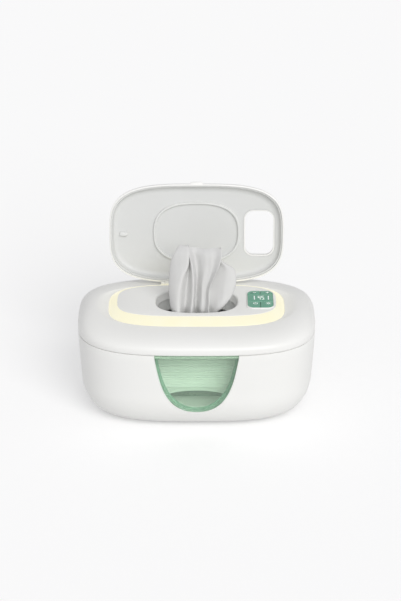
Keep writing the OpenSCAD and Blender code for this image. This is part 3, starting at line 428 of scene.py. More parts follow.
ZINC_STEEL = worked_metal("zinc_plated_steel", "#d3d5d8", "#b4b7bb", 0.30, 0.8, (1, 1, 1))
GROUND_STEEL = worked_metal("ground_steel_wire", "#d8dadd", "#bcbfc3", 0.22, 0.5, (0.05, 1, 1))
ROLLED_ALU = worked_metal("rolled_aluminium", "#dcdee1", "#c6c9cd", 0.34, 0.7, (0.04, 1, 1))
TINNED_CAN = worked_metal("tinned_can", "#d6cda8", "#bfb488", 0.28, 0.6, (1, 1, 1))
print("metals made: 4")

# %% [markdown]
# ## Boards and the heater film
#
# A circuit board is glass fibre in epoxy under a solder mask: the copper tracks show through the mask
# as paler lines, drawn here as bricks of two tones. The heater film is amber polyimide with an etched
# foil track that runs to and fro every 4 mm.

# %% Boards and film
def layered_board(name, mask, track, base_mm, rough):
    """Solder mask over copper tracks."""
    material, tree, surface = new_material(name, Roughness=rough, IOR=1.5)
    place = add(tree, "ShaderNodeTexCoord")
    tracks = add(
        tree, "ShaderNodeTexBrick", {"Vector": place.outputs["Object"]},
        {"Scale": 1 / (base_mm * MM), "Mortar Size": 0.03, "Brick Width": 1.7, "Row Height": 0.4,
         "Color1": srgb(mask), "Color2": srgb(mask), "Mortar": srgb(track)},
    )
    tree.links.new(tracks.outputs["Color"], surface.inputs["Base Color"])
    relief = add(
        tree, "ShaderNodeBump", {"Height": tracks.outputs["Fac"]},
        {"Distance": 0.03 * MM, "Strength": 0.6},
    )
    tree.links.new(relief.outputs["Normal"], surface.inputs["Normal"])
    return material


FR4_GREEN = layered_board("fr4_green_mask", "#2c6a4c", "#4d8f6c", 4.0, 0.32)
FR4_WHITE = layered_board("fr4_white_mask", "#eef0f0", "#d9dbd6", 5.0, 0.38)

FILM, tree, surface = new_material("polyimide_heater_film", Roughness=0.25, IOR=1.7)
place = add(tree, "ShaderNodeTexCoord")
meander = add(
    tree, "ShaderNodeTexWave", {"Vector": place.outputs["Object"]},
    {"Scale": 1 / (2 * math.pi * 4.0 * MM) / 3.2 * 2, "Distortion": 0.0},
    wave_type="BANDS", bands_direction="Y",
)
tone = add(tree, "ShaderNodeValToRGB", {"Fac": meander.outputs["Fac"]})
tone.color_ramp.elements[0].position, tone.color_ramp.elements[1].position = 0.45, 0.55
tone.color_ramp.elements[0].color, tone.color_ramp.elements[1].color = srgb("#b06a22"), srgb("#8d9094")
tree.links.new(tone.outputs["Color"], surface.inputs["Base Color"])

# The printed white ink glows faintly with its own colour: a painted glow, since ink is no lamp.
INK_WHITE_GLOWING, tree, surface = new_material("screen_ink_white_painted_glow", Roughness=0.4, IOR=1.5, Emission_Strength=0.25)
place = add(tree, "ShaderNodeTexCoord")
ink = add(
    tree, "ShaderNodeTexNoise", {"Vector": place.outputs["Object"]},
    {"Scale": 1 / (0.6 * MM), "Detail": 1.0},
)
tone = add(
    tree, "ShaderNodeMix", {"Factor": ink.outputs["Fac"]},
    {"A": srgb("#eef7f2"), "B": srgb("#fbfffd")}, data_type="RGBA",
)
tree.links.new(tone.outputs["Result"], surface.inputs["Base Color"])
tree.links.new(tone.outputs["Result"], surface.inputs["Emission Color"])
print("materials so far:", len(bpy.data.materials))

# %% [markdown]
# ## From millimetre rings to meshes
#
# Nearly every moulding here is a skin over level rings, which is how a mould maker would section it.
# The points of a ring are spaced evenly along its curve, not by angle, so the tight ends of the
# superellipse get as many points as the long sides. All rings share the same parameter, so a skin
# between two of them has no twist.

# %% Rings
COUNT = 208


def superellipse(t, a, b, square):
    """Points x and y of a superellipse of half sizes a and b, at the parameters t."""
    c, s = np.cos(t), np.sin(t)
    x = a * np.sign(c) * np.abs(c) ** (2 / square)
    y = b * np.sign(s) * np.abs(s) ** (2 / square)
    return x, y


def even_turn(a, b, square, count):
    """Parameters of a superellipse whose points are evenly spaced along it."""
    fine = np.linspace(0, 2 * np.pi, 24001)
    x, y = superellipse(fine, a, b, square)
    run = np.concatenate([[0], np.cumsum(np.hypot(np.diff(x), np.diff(y)))])
    return np.interp(np.linspace(0, run[-1], count + 1)[:-1], run, fine)


TURN = even_turn(HALF_W, HALF_D, BODY_SQUARE, COUNT)
COS4 = np.cos(TURN) ** 4


def ring(a, b, square, z, back=None):
    """A ring at height z, which may vary round it, cut off softly behind at back."""
    x, y = superellipse(TURN, a, b, square)
    if back is not None:
        soft = 0.8
        y = -soft * np.logaddexp(-y / soft, -back / soft)
    return np.stack([x, y, np.broadcast_to(z, x.shape)], axis=1)


print("points round a ring:", len(TURN))

# %% [markdown]
# ## Rounded rectangles and smooth lines
#
# The panel, the keys and the pads have straight sides, so they are rounded rectangles, with a radius
# for each corner. Profiles such as the lid's crown are drawn through a few measured points with a
# curve that passes every one of them, as a draughtsman's flexible ruler would.

# %% Rounded rectangles and smooth lines
def rounded(w, d, radii, z, count=10, x=0.0, y=0.0):
    """A rounded rectangle with its own radius at each corner, from the rear right one onwards."""
    points = []
    for k, (sx, sy) in enumerate(((1, 1), (-1, 1), (-1, -1), (1, -1))):
        r = max(radii[k], 0.02)
        for i in range(count + 1):
            t = math.pi / 2 * (k + i / count)
            middle_x, middle_y = x + sx * (w / 2 - r), y + sy * (d / 2 - r)
            points.append((middle_x + r * math.cos(t), middle_y + r * math.sin(t), z))
    return np.array(points)


def smooth_line(points, steps):
    """Points of a smooth curve through the given ones."""
    p = np.array(points, float)
    p = np.vstack([2 * p[0] - p[1], p, 2 * p[-1] - p[-2]])
    out = []
    for i in range(1, len(p) - 2):
        for t in np.linspace(0, 1, steps, endpoint=False):
            a, b, c, d = p[i - 1 : i + 3]
            square, cube = 2 * a - 5 * b + 4 * c - d, 3 * b - a - 3 * c + d
            out.append(0.5 * (2 * b + (c - a) * t + square * t**2 + cube * t**3))
    return np.array(out + [p[-2]])


print("points of a rounded rectangle:", len(rounded(10, 6, [1] * 4, 0)))

# %% [markdown]
# ## Skins over rings
#
# A skin joins each ring to the next with a band of faces. It is capped at both ends for a solid, or
# joined into a loop for a ring or a shell. It is shaded smooth, and broken only where two faces meet
# at a real edge. Posts, knuckles and screws come off a lathe, so they are skins over circles.

# %% Skins over rings
SHARP = 38


def skin(name, rings, loop=False, sharp=SHARP):
    """A closed mesh over a row of rings in millimetres: capped at both ends, or joined into a loop."""
    count, n = len(rings), len(rings[0])
    points = np.concatenate(rings) * MM
    rows = range(count if loop else count - 1)
    faces = [
        (j * n + i, j * n + (i + 1) % n, (j + 1) % count * n + (i + 1) % n, (j + 1) % count * n + i)
        for j in rows
        for i in range(n)
    ]
    if not loop:
        faces += [tuple(range(n))[::-1], tuple((count - 1) * n + i for i in range(n))]
    mesh = bpy.data.meshes.new(name)
    mesh.from_pydata(points.tolist(), [], faces)
    work = bmesh.new()
    work.from_mesh(mesh)
    bmesh.ops.remove_doubles(work, verts=work.verts, dist=1e-6)
    bmesh.ops.recalc_face_normals(work, faces=work.faces)
    work.to_mesh(mesh)
    work.free()
    return dress(mesh, sharp)


def dress(mesh, sharp=SHARP):
    """Smooth shading, broken where two faces meet at more than the angle."""
    mesh.polygons.foreach_set("use_smooth", [True] * len(mesh.polygons))
    mesh.set_sharp_from_angle(angle=math.radians(sharp))
    return mesh


def turned(name, profile, axis="Z", at=(0, 0, 0), sides=40):
    """A solid of revolution: profile is pairs of radius and place along the axis."""
    rings = []
    for r, h in profile:
        t = np.linspace(0, 2 * np.pi, sides, endpoint=False)
        u, v = max(r, 0.005) * np.cos(t), max(r, 0.005) * np.sin(t)
        flat = np.full(sides, float(h))
        rings.append(np.stack((u, v, flat) if axis == "Z" else (flat, u, v), axis=1) + np.array(at))
    return skin(name, rings)


def rod(name, length, r, at, edge=0.3, sides=40):
    """A rod along X with eased ends."""
    profile = [(r - edge, 0), (r, edge), (r, length - edge), (r - edge, length)]
    return turned(name, profile, "X", at, sides)


print("edges break above", SHARP, "degrees")

# %% [markdown]
# ## Joining, cutting and placing
#
# Openings are cut with booleans, since a real tool leaves the same clean edge. A cut is made on
# throw-away objects, so that no modifier is left on the piece. Every piece is then linked, given its
# material, and set to ride on its body in place of the plain CAD nodes that it stands for.

# %% Joining, cutting and placing
def together(name, meshes):
    """One mesh of several."""
    work = bmesh.new()
    for mesh in meshes:
        work.from_mesh(mesh)
        bpy.data.meshes.remove(mesh)
    mesh = bpy.data.meshes.new(name)
    work.to_mesh(mesh)
    work.free()
    return mesh


def carved(mesh, tool, how="DIFFERENCE"):
    """The mesh after one boolean with the tool, which is used up."""
    pair = []
    for data in (mesh, tool):
        obj = bpy.data.objects.new("carving", data)
        scene.collection.objects.link(obj)
        pair.append(obj)
    step = pair[0].modifiers.new("carve", "BOOLEAN")
    step.operation, step.solver, step.object = how, "EXACT", pair[1]
    bpy.context.view_layer.update()
    shown = pair[0].evaluated_get(bpy.context.evaluated_depsgraph_get())
    result = bpy.data.meshes.new_from_object(shown)
    for obj in pair:
        bpy.data.objects.remove(obj)
    name = mesh.name
    for data in (mesh, tool):
        bpy.data.meshes.remove(data)
    result.name = name
    return dress(result)


def put(mesh, material, body, nodes=()):
    """Links a mesh as a piece on a body, in place of its CAD nodes."""
    mesh.materials.clear()
    mesh.materials.append(material)
    obj = bpy.data.objects.new(mesh.name, mesh)
    scene.collection.objects.link(obj)
    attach(obj, body)
    if nodes:
        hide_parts(*nodes)
    print(f"{obj.name}: {len(mesh.polygons)} faces on {body}")
    return obj


# %% [markdown]
# ## Lower shell
#
# The side is drafted so that it leaves its mould, and rolls under in a generous rounding. Two real
# details matter to the eye: the seam's edge is eased by half a millimetre, so it catches a fine line
# of light, and a tongue stands up inside it, so the shadow gap shows no light from within. The window
# is cut through wall, ledge and tongue with the very prism that the green pane is made from.

# %% Rings of the shell and outline of the window
ROUND_TOP, ROUND_H, ROUND_IN, DRAFT = 41.0, 39.0, 28.0, 2.8
WINDOW_HALF, WINDOW_H, WINDOW_LEAN = 44.0, 66.6, 0.175


def lower_rings(wall, step=6):
    """Rings from the bottom edge up to the draft below the seam, moved inwards by the wall."""
    rings = []
    for u in range(90, -1, -step):
        t = math.radians(u)
        inset = DRAFT + wall + (ROUND_IN - wall) * (1 - math.cos(t))
        z = ROUND_TOP - (ROUND_H - wall) * math.sin(t)
        rings.append(ring(HALF_W - inset, HALF_D - inset, BODY_SQUARE, z, REAR_Y - wall))
    for f in (0.15, 0.3, 0.45, 0.6, 0.75):
        inset = DRAFT * (1 - f) ** 1.6 + wall
        z = ROUND_TOP + (BELLY_Z - ROUND_TOP) * f
        rings.append(ring(HALF_W - inset, HALF_D - inset, BODY_SQUARE, z, REAR_Y - wall))
    return rings


def rim(inset, z):
    return ring(HALF_W - inset, HALF_D - inset, BODY_SQUARE, z, REAR_Y - inset)


def tongue(inset, high):
    """The tongue's edge, low along the hinge side where the cover swings."""
    points = rim(inset, BASE_TOP)
    points[:, 2] += np.where(points[:, 1] > 0.55 * HALF_D, min(high, 0.4), high)
    return points


def window_outline(grow):
    """The window's U seen from the front, from its right top corner down and up again."""
    q = np.radians(np.linspace(0, 90, 40))
    down = (WINDOW_H + grow) * np.sin(q)
    share = np.clip(down / (WINDOW_H + grow), 0, 1)
    half = (WINDOW_HALF + grow - WINDOW_LEAN * down) * (1 - share**4) ** (1 / 2.2)
    half[-1] = 0
    right = np.stack([half, -down], axis=1)
    left = np.stack([-half, -down], axis=1)[-2::-1]
    return np.concatenate([right, left])


def window_prism(name, grow, y_from, y_to, top):
    """The window's outline drawn through from y_from to y_to, cut level at top."""
    outline = window_outline(grow)
    z = np.minimum(BASE_TOP + outline[:, 1], top)
    if top > BASE_TOP:
        z = np.where(outline[:, 1] > -0.01, top, z)
    rings = [np.stack([outline[:, 0], np.full(len(z), y), z], axis=1) for y in (y_from, y_to)]
    return skin(name, rings)


def box_mesh(name, low, high):
    """A plain box between two corners, used only as a cutting tool."""
    (x0, y0, z0), (x1, y1, z1) = low, high
    loop = np.array([(x0, y0), (x1, y0), (x1, y1), (x0, y1)])
    return skin(name, [np.column_stack([loop, np.full(4, z)]) for z in (z0, z1)])


print("rings up the side:", len(lower_rings(0)))

# %% [markdown]
# ## Tongue, ledge and hinge of the shell
#
# One row of rings goes up the outside, over the seam's edge and the tongue, back to the ledge that
# carries the tub, and down the inside. At each hinge a knuckle of the shell stands on either side of
# the cover's one, and the shell is hollowed round the cover's knuckle so that it can turn.

# %% Lower shell
TONGUE_IN, TONGUE_T, TONGUE_H, LEDGE_W = WALL + 0.5, 1.6, 3.0, 3.0
HINGE_X, HINGE_Y, HINGE_Z, HINGE_LEN, KNUCKLE_R, KNUCKLE_ROOM = 38.0, 86.0, 90.0, 26.0, 3.0, 0.4
COVER_KNUCKLE = 0.36 * HINGE_LEN
INLET_X, INLET_Z, INLET_R = 42.0, 48.0, 4.2
LEDGE_IN = TONGUE_IN + TONGUE_T
shell_rings = lower_rings(0)
shell_rings += [rim(0.10, BASE_TOP - 0.7), rim(0.22, BASE_TOP - 0.2)]
shell_rings += [rim(0.6, BASE_TOP), rim(TONGUE_IN, BASE_TOP)]
shell_rings += [tongue(TONGUE_IN, TONGUE_H - 0.3), tongue(TONGUE_IN + 0.3, TONGUE_H)]
shell_rings += [tongue(LEDGE_IN - 0.3, TONGUE_H), tongue(LEDGE_IN, TONGUE_H - 0.3)]
shell_rings += [rim(LEDGE_IN, LEDGE_Z)]
shell_rings += [rim(LEDGE_IN + LEDGE_W, z) for z in (LEDGE_Z, LEDGE_Z - 1.2)]
shell_rings += [rim(WALL + 0.6, LEDGE_Z - 6)] + lower_rings(WALL)[::-1]
shell = skin("lower_shell", shell_rings)
shell = carved(shell, window_prism("tool", 0, -HALF_D - 5, -HALF_D + 14, BASE_TOP + 4))
for side in (-1, 1):
    gap = COVER_KNUCKLE / 2 + KNUCKLE_ROOM
    at = (side * HINGE_X - gap, HINGE_Y, HINGE_Z)
    shell = carved(shell, rod("tool", 2 * gap, KNUCKLE_R + KNUCKLE_ROOM, at, 0.05))
knuckles = []
for side in (-1, 1):
    for first in (-HINGE_LEN / 2, COVER_KNUCKLE / 2 + KNUCKLE_ROOM):
        length = (HINGE_LEN - COVER_KNUCKLE) / 2 - KNUCKLE_ROOM
        knuckles.append(rod("knuckle", length, KNUCKLE_R, (side * HINGE_X + first, HINGE_Y, HINGE_Z)))
hole = turned("tool", [(INLET_R, REAR_Y - 6), (INLET_R, REAR_Y + 6)], "Z")
hole.transform(Matrix.Translation((INLET_X * MM, 0, INLET_Z * MM)) @ Matrix.Rotation(-math.pi / 2, 4, "X"))
shell = carved(shell, hole)
shell = dress(together("lower_shell", [shell, *knuckles]))
put(shell, ABS_WHITE, "base", ["base_shell"])

# %% [markdown]
# ## The green window
#
# The pane is the front of the shell's own form, so it lies flush in its opening with a quarter of a
# millimetre all round. A collar runs back from its edge to the tub, and it is what the photograph
# shows as a paler rim and a bright band at the bottom: one looks along it, through more plastic.

# %% Green window
WINDOW_WALL, WINDOW_PLAY = 2.2, 0.25
COLLAR_Y, COLLAR_IN, COLLAR_TOP = -72.4, -WINDOW_PLAY - WINDOW_WALL, 85.7

outer = skin("green_window", lower_rings(0) + [rim(0.10, BASE_TOP)])
pane = carved(outer, window_prism("tool", -WINDOW_PLAY, -HALF_D - 5, COLLAR_Y, BASE_TOP + 4), "INTERSECT")
inner = skin("hollow", lower_rings(WINDOW_WALL) + [rim(WINDOW_WALL + 0.1, BASE_TOP + 5)])
hollow = carved(
    inner,
    window_prism("tool", COLLAR_IN, -HALF_D - 5, COLLAR_Y + 1, COLLAR_TOP - WINDOW_WALL),
    "INTERSECT",
)
pane = carved(pane, hollow)
room_y = -HALF_D + WALL + 0.5 + TONGUE_T - 0.4
pane = carved(pane, box_mesh("tool", (-60, room_y, COLLAR_TOP), (60, -40, COLLAR_TOP + 20)))
put(pane, GREEN_CLEAR, "base", ["front_window"])

# %% [markdown]
# ## Wipe tub
#
# The tub is moulded in polypropylene, with rounded bottom corners so that no wet edge tears a wipe.
# Its flange rests on the shell's ledge. Through the green window one sees its frame, the tray and the
# dark pad under it, so it is skinned as finely as the outside.

# %% Wipe tub
TUB_HALF_W, TUB_HALF_D, TUB_SQUARE, TUB_WALL = 107.2, 69.2, 3.4, 2.2
TUB_FLOOR, TUB_ROUND, TUB_DRAFT, TUB_RIM_Z = 18.2, 12.0, 3.6, 88.2
FRAME_Y, FRAME_W = -71.2, 2.6


def tub_ring(inset, z):
    return ring(TUB_HALF_W - inset, TUB_HALF_D - inset, TUB_SQUARE, z)


def tub_rings(wall):
    rings = []
    for u in range(90, -1, -10):
        t = math.radians(u)
        inset = TUB_DRAFT + wall + (TUB_ROUND - wall) * (1 - math.cos(t))
        rings.append(tub_ring(inset, TUB_FLOOR - TUB_WALL + TUB_ROUND - (TUB_ROUND - wall) * math.sin(t)))
    return rings


FLANGE_OUT = LEDGE_IN + 0.4
bowl = skin("bowl", tub_rings(0) + [tub_ring(0, LEDGE_Z)])
hollow_rings = tub_rings(TUB_WALL) + [tub_ring(TUB_WALL, LEDGE_Z), tub_ring(TUB_WALL, LEDGE_Z + 1)]
bowl = carved(bowl, skin("tool", hollow_rings))
bowl = carved(bowl, window_prism("tool", COLLAR_IN + FRAME_W, FRAME_Y - 1, -TUB_HALF_D + 16, BASE_TOP + 4))
flange = skin("flange", [
    rim(FLANGE_OUT, LEDGE_Z), rim(FLANGE_OUT, TUB_RIM_Z - 0.3), rim(FLANGE_OUT + 0.3, TUB_RIM_Z),
    tub_ring(TUB_WALL - 0.6, TUB_RIM_Z), tub_ring(TUB_WALL - 0.2, TUB_RIM_Z - 0.2),
    tub_ring(TUB_WALL, TUB_RIM_Z - 0.7), tub_ring(TUB_WALL, LEDGE_Z)], loop=True)
border = window_prism("border", COLLAR_IN + FRAME_W, FRAME_Y, -TUB_HALF_D + 14, COLLAR_TOP)
border = carved(border, skin("tool", hollow_rings))
hole = window_prism("tool", COLLAR_IN, FRAME_Y - 1, -TUB_HALF_D + 16, COLLAR_TOP - WINDOW_WALL)
border = carved(border, hole)
tub = dress(together("wipe_tub", [bowl, flange, border]))
put(tub, PP_WHITE, "base", ["inner_tub", "tub_flange", "tub_frame"])

# %% [markdown]
# ## Cover
#
# The cover swells out above the seam, rolls over a crest and dips to the light ring. The crest rises
# towards the two ends, which gives the housing its saddle. The two curves meet with level tangents at
# the crest, so the highlight runs round without a kink.

# %% Rings of the cover
CREST_HALF_W, CREST_HALF_D, CREST_SQUARE, CREST_Z = 107.5, 54.5, 2.6, 109.8
RING_Z, RING_HALF_W, RING_HALF_D, RING_SQUARE = 107.0, 92.3, 52.4, 3.4
HOLE_HALF_W, HOLE_HALF_D = RING_HALF_W + 0.2, RING_HALF_D + 0.2


def mix(a, b, f):
    """The value that lies the share f of the way from a to b."""
    return a + (b - a) * f


def shoulder(u, wall):
    """A ring of the cover's shoulder, u degrees up from the widest line."""
    s, c = math.sin(math.radians(u)), math.cos(math.radians(u))
    front = BELLY_Z + (RING_Z - wall - BELLY_Z) * s
    ends = BELLY_Z + (CREST_Z - wall - BELLY_Z) * s
    return ring(
        mix(HALF_W - wall, CREST_HALF_W - wall / 2, 1 - c),
        mix(HALF_D - wall, CREST_HALF_D, 1 - c),
        mix(BODY_SQUARE, CREST_SQUARE, 1 - c),
        front + (ends - front) * COS4,
        REAR_Y - wall,
    )


def dip(f):
    """A ring of the dip from the crest, f 0, to the light ring, f 1."""
    fall = 0.5 + 0.5 * math.cos(math.pi * f)
    return ring(
        mix(CREST_HALF_W, HOLE_HALF_W, f),
        mix(CREST_HALF_D, HOLE_HALF_D, f),
        mix(CREST_SQUARE, RING_SQUARE, f),
        RING_Z + (CREST_Z - RING_Z) * fall * COS4,
    )


print("crest in mm: front", RING_Z, "ends", CREST_Z)

# %% [markdown]
# ## The cover, its hinge parts and posts
#
# The cover carries one knuckle of each rear hinge, and two ears for each knuckle of the lid. All of
# them are short rods with eased ends, and the cover is hollowed where the other part turns. Four
# posts inside take the liner's screws.

# %% Cover
LID_AXIS_Y, LID_AXIS_Z, LID_HINGE_X = 54.4, 108.6, 30.0
LID_KNUCKLE, LID_KNUCKLE_R, EAR_W, EAR_PLAY = 8.0, 2.2, 4.0, 0.3
POST_R, POST_FOOT, POST_HEAD = 3.2, 92.8, 103.6

cover_rings = [rim(WALL, COVER_BOTTOM), rim(0.7, COVER_BOTTOM), rim(0.32, COVER_BOTTOM + 0.15)]
cover_rings += [rim(0.12, COVER_BOTTOM + 0.6), rim(0.04, COVER_BOTTOM + 2.2)]
cover_rings += [shoulder(u, 0) for u in range(0, 91, 5)]
cover_rings += [dip(f) for f in (0.1, 0.2, 0.3, 0.4, 0.5, 0.6, 0.7, 0.8, 0.9, 0.97)]
cover_rings += [ring(HOLE_HALF_W, HOLE_HALF_D, RING_SQUARE, RING_Z - z) for z in (0.35, WALL)]
cover_rings += [shoulder(u, WALL) for u in range(90, -1, -9)]
cover = skin("top_housing", cover_rings, loop=True)
for side in (-1, 1):
    reach = (HINGE_LEN - COVER_KNUCKLE) / 2 + KNUCKLE_ROOM
    for first in (-HINGE_LEN / 2 - KNUCKLE_ROOM, COVER_KNUCKLE / 2):
        at = (side * HINGE_X + first, HINGE_Y, HINGE_Z)
        cover = carved(cover, rod("tool", reach, KNUCKLE_R + KNUCKLE_ROOM, at, 0.05))
    groove = LID_KNUCKLE + 2 * EAR_PLAY
    at = (side * LID_HINGE_X - groove / 2, LID_AXIS_Y, LID_AXIS_Z)
    cover = carved(cover, rod("tool", groove, LID_KNUCKLE_R + KNUCKLE_ROOM, at, 0.05))
extras = []
for side in (-1, 1):
    at = (side * HINGE_X - COVER_KNUCKLE / 2, HINGE_Y, HINGE_Z)
    extras.append(rod("knuckle", COVER_KNUCKLE, KNUCKLE_R, at))
    for first in (-LID_KNUCKLE / 2 - EAR_PLAY - EAR_W, LID_KNUCKLE / 2 + EAR_PLAY):
        at = (side * LID_HINGE_X + first, LID_AXIS_Y, LID_AXIS_Z)
        extras.append(rod("ear", EAR_W, LID_KNUCKLE_R + 0.2, at, 0.4))
# The liner's posts stand where the shoulder has turned through 56 degrees.
POST_UP, POST_TURN = math.radians(56), math.radians(33.75)
post_share = 1 - math.cos(POST_UP)
post_power = 2 / mix(BODY_SQUARE, CREST_SQUARE, post_share)
POST_X = mix(HALF_W - WALL / 2, CREST_HALF_W - WALL / 4, post_share) * math.cos(POST_TURN) ** post_power
POST_Y = mix(HALF_D - WALL / 2, CREST_HALF_D, post_share) * math.sin(POST_TURN) ** post_power
for x in (-POST_X, POST_X):
    for y in (-POST_Y, POST_Y):
        extras.append(turned("post", [(POST_R, POST_FOOT), (POST_R, POST_HEAD)], "Z", (x, y, 0), 24))
cover = dress(together("top_housing", [cover, *extras]))
put(cover, ABS_WHITE, "cover", ["top_cover"])

# %% [markdown]
# ## Light ring
#
# The bevel is a thin opal moulding lit from below by a ring of small lamps. Its face is slightly
# crowned, so the light isn't quite even from edge to edge. A flange under the cover's edge holds it.

# %% Light ring
FOOT_Z = RING_Z - WALL - 1.6
DECK_T, TOP_HALF_W, TOP_HALF_D = 2.6, 84.0, 40.0


def bevel(f, drop=0.0, inset=0.0):
    """A ring of the bevel's face, from its foot at f 0 to the deck at f 1."""
    rise = (DECK_Z - RING_Z) * f * (1.4 - 0.4 * f)
    a, b = mix(RING_HALF_W, TOP_HALF_W, f), mix(RING_HALF_D, TOP_HALF_D, f)
    return ring(a - inset, b - inset, RING_SQUARE, RING_Z + rise - drop)


flange_top = RING_Z - WALL - 0.2
bevel_rings = [ring(RING_HALF_W + 2.2, RING_HALF_D + 1.8, RING_SQUARE, z) for z in (FOOT_Z, flange_top)]
bevel_rings += [ring(RING_HALF_W, RING_HALF_D, RING_SQUARE, z) for z in (flange_top, RING_Z - 0.4)]
bevel_rings += [bevel(0.03)] + [bevel(f) for f in (0.1, 0.2, 0.3, 0.4, 0.5, 0.6, 0.7, 0.8, 0.9, 0.97)]
bevel_rings += [ring(TOP_HALF_W, TOP_HALF_D, RING_SQUARE, z) for z in (DECK_Z - 0.25, DECK_Z - DECK_T)]
bevel_rings += [bevel(f, 2.2, 1.2) for f in (0.8, 0.6, 0.4, 0.2)]
bevel_rings += [ring(RING_HALF_W - 2.2, RING_HALF_D - 2.2, RING_SQUARE, FOOT_Z)]
put(skin("light_bevel", bevel_rings, loop=True), DIFFUSER_LIT, "cover", ["light_ring"])

# %% [markdown]
# ## Deck
#
# The deck is a flat plate with one rounded edge that matters: the opening, where the wipe is pulled
# over the lip. The edge rolls over in a quarter ellipse and runs on as a lip that leans inwards.

# %% Deck
OPEN_A, OPEN_B, OPEN_SQUARE, LIP_Z = 42.8, 29.6, 2.6, 104.0
PANEL_X, PANEL_Y, PANEL_W, PANEL_D, PANEL_R = 67.2, 1.0, 29.0, 45.4, 8.0
DECK_POST_X, DECK_POST_Y, DECK_POST_R = OPEN_A + 12.6, TOP_HALF_D - 7.6, 2.6


def mouth(grow, z):
    return ring(OPEN_A + grow, OPEN_B + grow, OPEN_SQUARE, z)


deck_rings = [ring(TOP_HALF_W - 0.2 - i, TOP_HALF_D - 0.2 - i, RING_SQUARE, z) for i, z in (
    (0.0, DECK_Z - DECK_T), (0.0, DECK_Z - 0.3), (0.08, DECK_Z - 0.08), (0.35, DECK_Z))]
for u in range(0, 91, 10):
    t = math.radians(u)
    deck_rings.append(mouth(2.6 * (1 - math.sin(t)), DECK_Z - 2.4 * (1 - math.cos(t))))
deck_rings += [mouth(-1.6, LIP_Z + 0.3), mouth(-1.3, LIP_Z), mouth(-0.3, LIP_Z), mouth(0.0, LIP_Z + 0.3)]
deck_rings += [mouth(1.8, DECK_Z - DECK_T - 0.6), mouth(3.0, DECK_Z - DECK_T)]
deck = skin("deck_plate", deck_rings, loop=True)
hole_w, hole_d = PANEL_W + 0.2, PANEL_D + 0.2
hole_rings = [
    rounded(hole_w, hole_d, [PANEL_R] * 4, z, x=PANEL_X, y=PANEL_Y) for z in (DECK_Z - 8, DECK_Z + 4)
]
deck = carved(deck, skin("tool", hole_rings))
posts = []
under = DECK_Z - DECK_T + 0.1
for x in (-DECK_POST_X, DECK_POST_X):
    for y in (-DECK_POST_Y, DECK_POST_Y):
        posts.append(turned("post", [(DECK_POST_R, POST_FOOT), (DECK_POST_R, under)], "Z", (x, y, 0), 24))
for x in (-6, 6):
    for y in (-24.9, 24.9):
        at = (PANEL_X + x, PANEL_Y + y, 0)
        posts.append(turned("pad", [(1.2, 107.05), (1.2, under)], "Z", at, 20))
deck = dress(together("deck_plate", [deck, *posts]))
put(deck, ABS_WHITE, "cover", ["deck"])

# %% [markdown]
# ## Control panel
#
# Four keys and a lens fill one rounded field inside a white rim. Each piece is moulded by itself, so
# it has its own small corner radii where it meets its neighbours, and shares the field's big radius
# only at the outer corner. The faces are crowned by a fifth of a millimetre, which is enough to bend
# the reflection from key to key.

# %% Panel frame, keys and lens
KEY_TOP = 114.3
FIELD_W, FIELD_D, FIELD_R = 26.9, 42.3, 6.8
FRONT_KEY_D, REAR_KEY_D, KEY_GAP = 14.6, 9.0, 0.4
KEY_W = (FIELD_W - KEY_GAP) / 2
KEY_X = FIELD_W / 4 + KEY_GAP / 4
FRONT_KEY_Y = -FIELD_D / 2 + FRONT_KEY_D / 2
REAR_KEY_Y = FIELD_D / 2 - REAR_KEY_D / 2
LENS_D = FIELD_D - FRONT_KEY_D - REAR_KEY_D - 2 * KEY_GAP
LENS_Y = (REAR_KEY_Y - REAR_KEY_D / 2 + FRONT_KEY_Y + FRONT_KEY_D / 2) / 2


def on_panel(w, d, radii, x, y, z, inset=0.0):
    shrunk = [max(r - inset, 0.1) for r in radii]
    return rounded(w - 2 * inset, d - 2 * inset, shrunk, z, x=PANEL_X + x, y=PANEL_Y + y)


RIM_FOOT, RIM_STEP, RIM_TOP = 108.8, 110.3, 114.0
frame_rings = [on_panel(PANEL_W + 1.6, PANEL_D + 1.6, [8.8] * 4, 0, 0, z) for z in (RIM_FOOT, RIM_STEP)]
for z, inset in ((RIM_STEP, 0.0), (113.6, 0.0), (113.85, 0.1), (RIM_TOP, 0.35)):
    frame_rings.append(on_panel(PANEL_W, PANEL_D, [PANEL_R] * 4, 0, 0, z, inset))
for z, inset in ((RIM_TOP, -0.2), (113.8, 0.0), (RIM_FOOT, 0.0)):
    frame_rings.append(on_panel(PANEL_W - 1.8, PANEL_D - 2.8, [7.1] * 4, 0, 0, z, inset))
put(skin("panel_rim", frame_rings, loop=True), ABS_WHITE, "cover", ["panel_frame"])


def cap_piece(name, w, d, radii, x, y):
    """A key's or lens's face with eased edges and a slight crown."""
    rings = [on_panel(w, d, radii, x, y, z, i) for z, i in (
        (KEY_TOP - 2.4, 0.1), (KEY_TOP - 2.2, 0.0), (KEY_TOP - 0.55, 0.0), (KEY_TOP - 0.3, 0.08),
        (KEY_TOP - 0.16, 0.28), (KEY_TOP - 0.08, 0.7), (KEY_TOP - 0.03, 1.8), (KEY_TOP, 3.6))]
    return skin(name, rings)


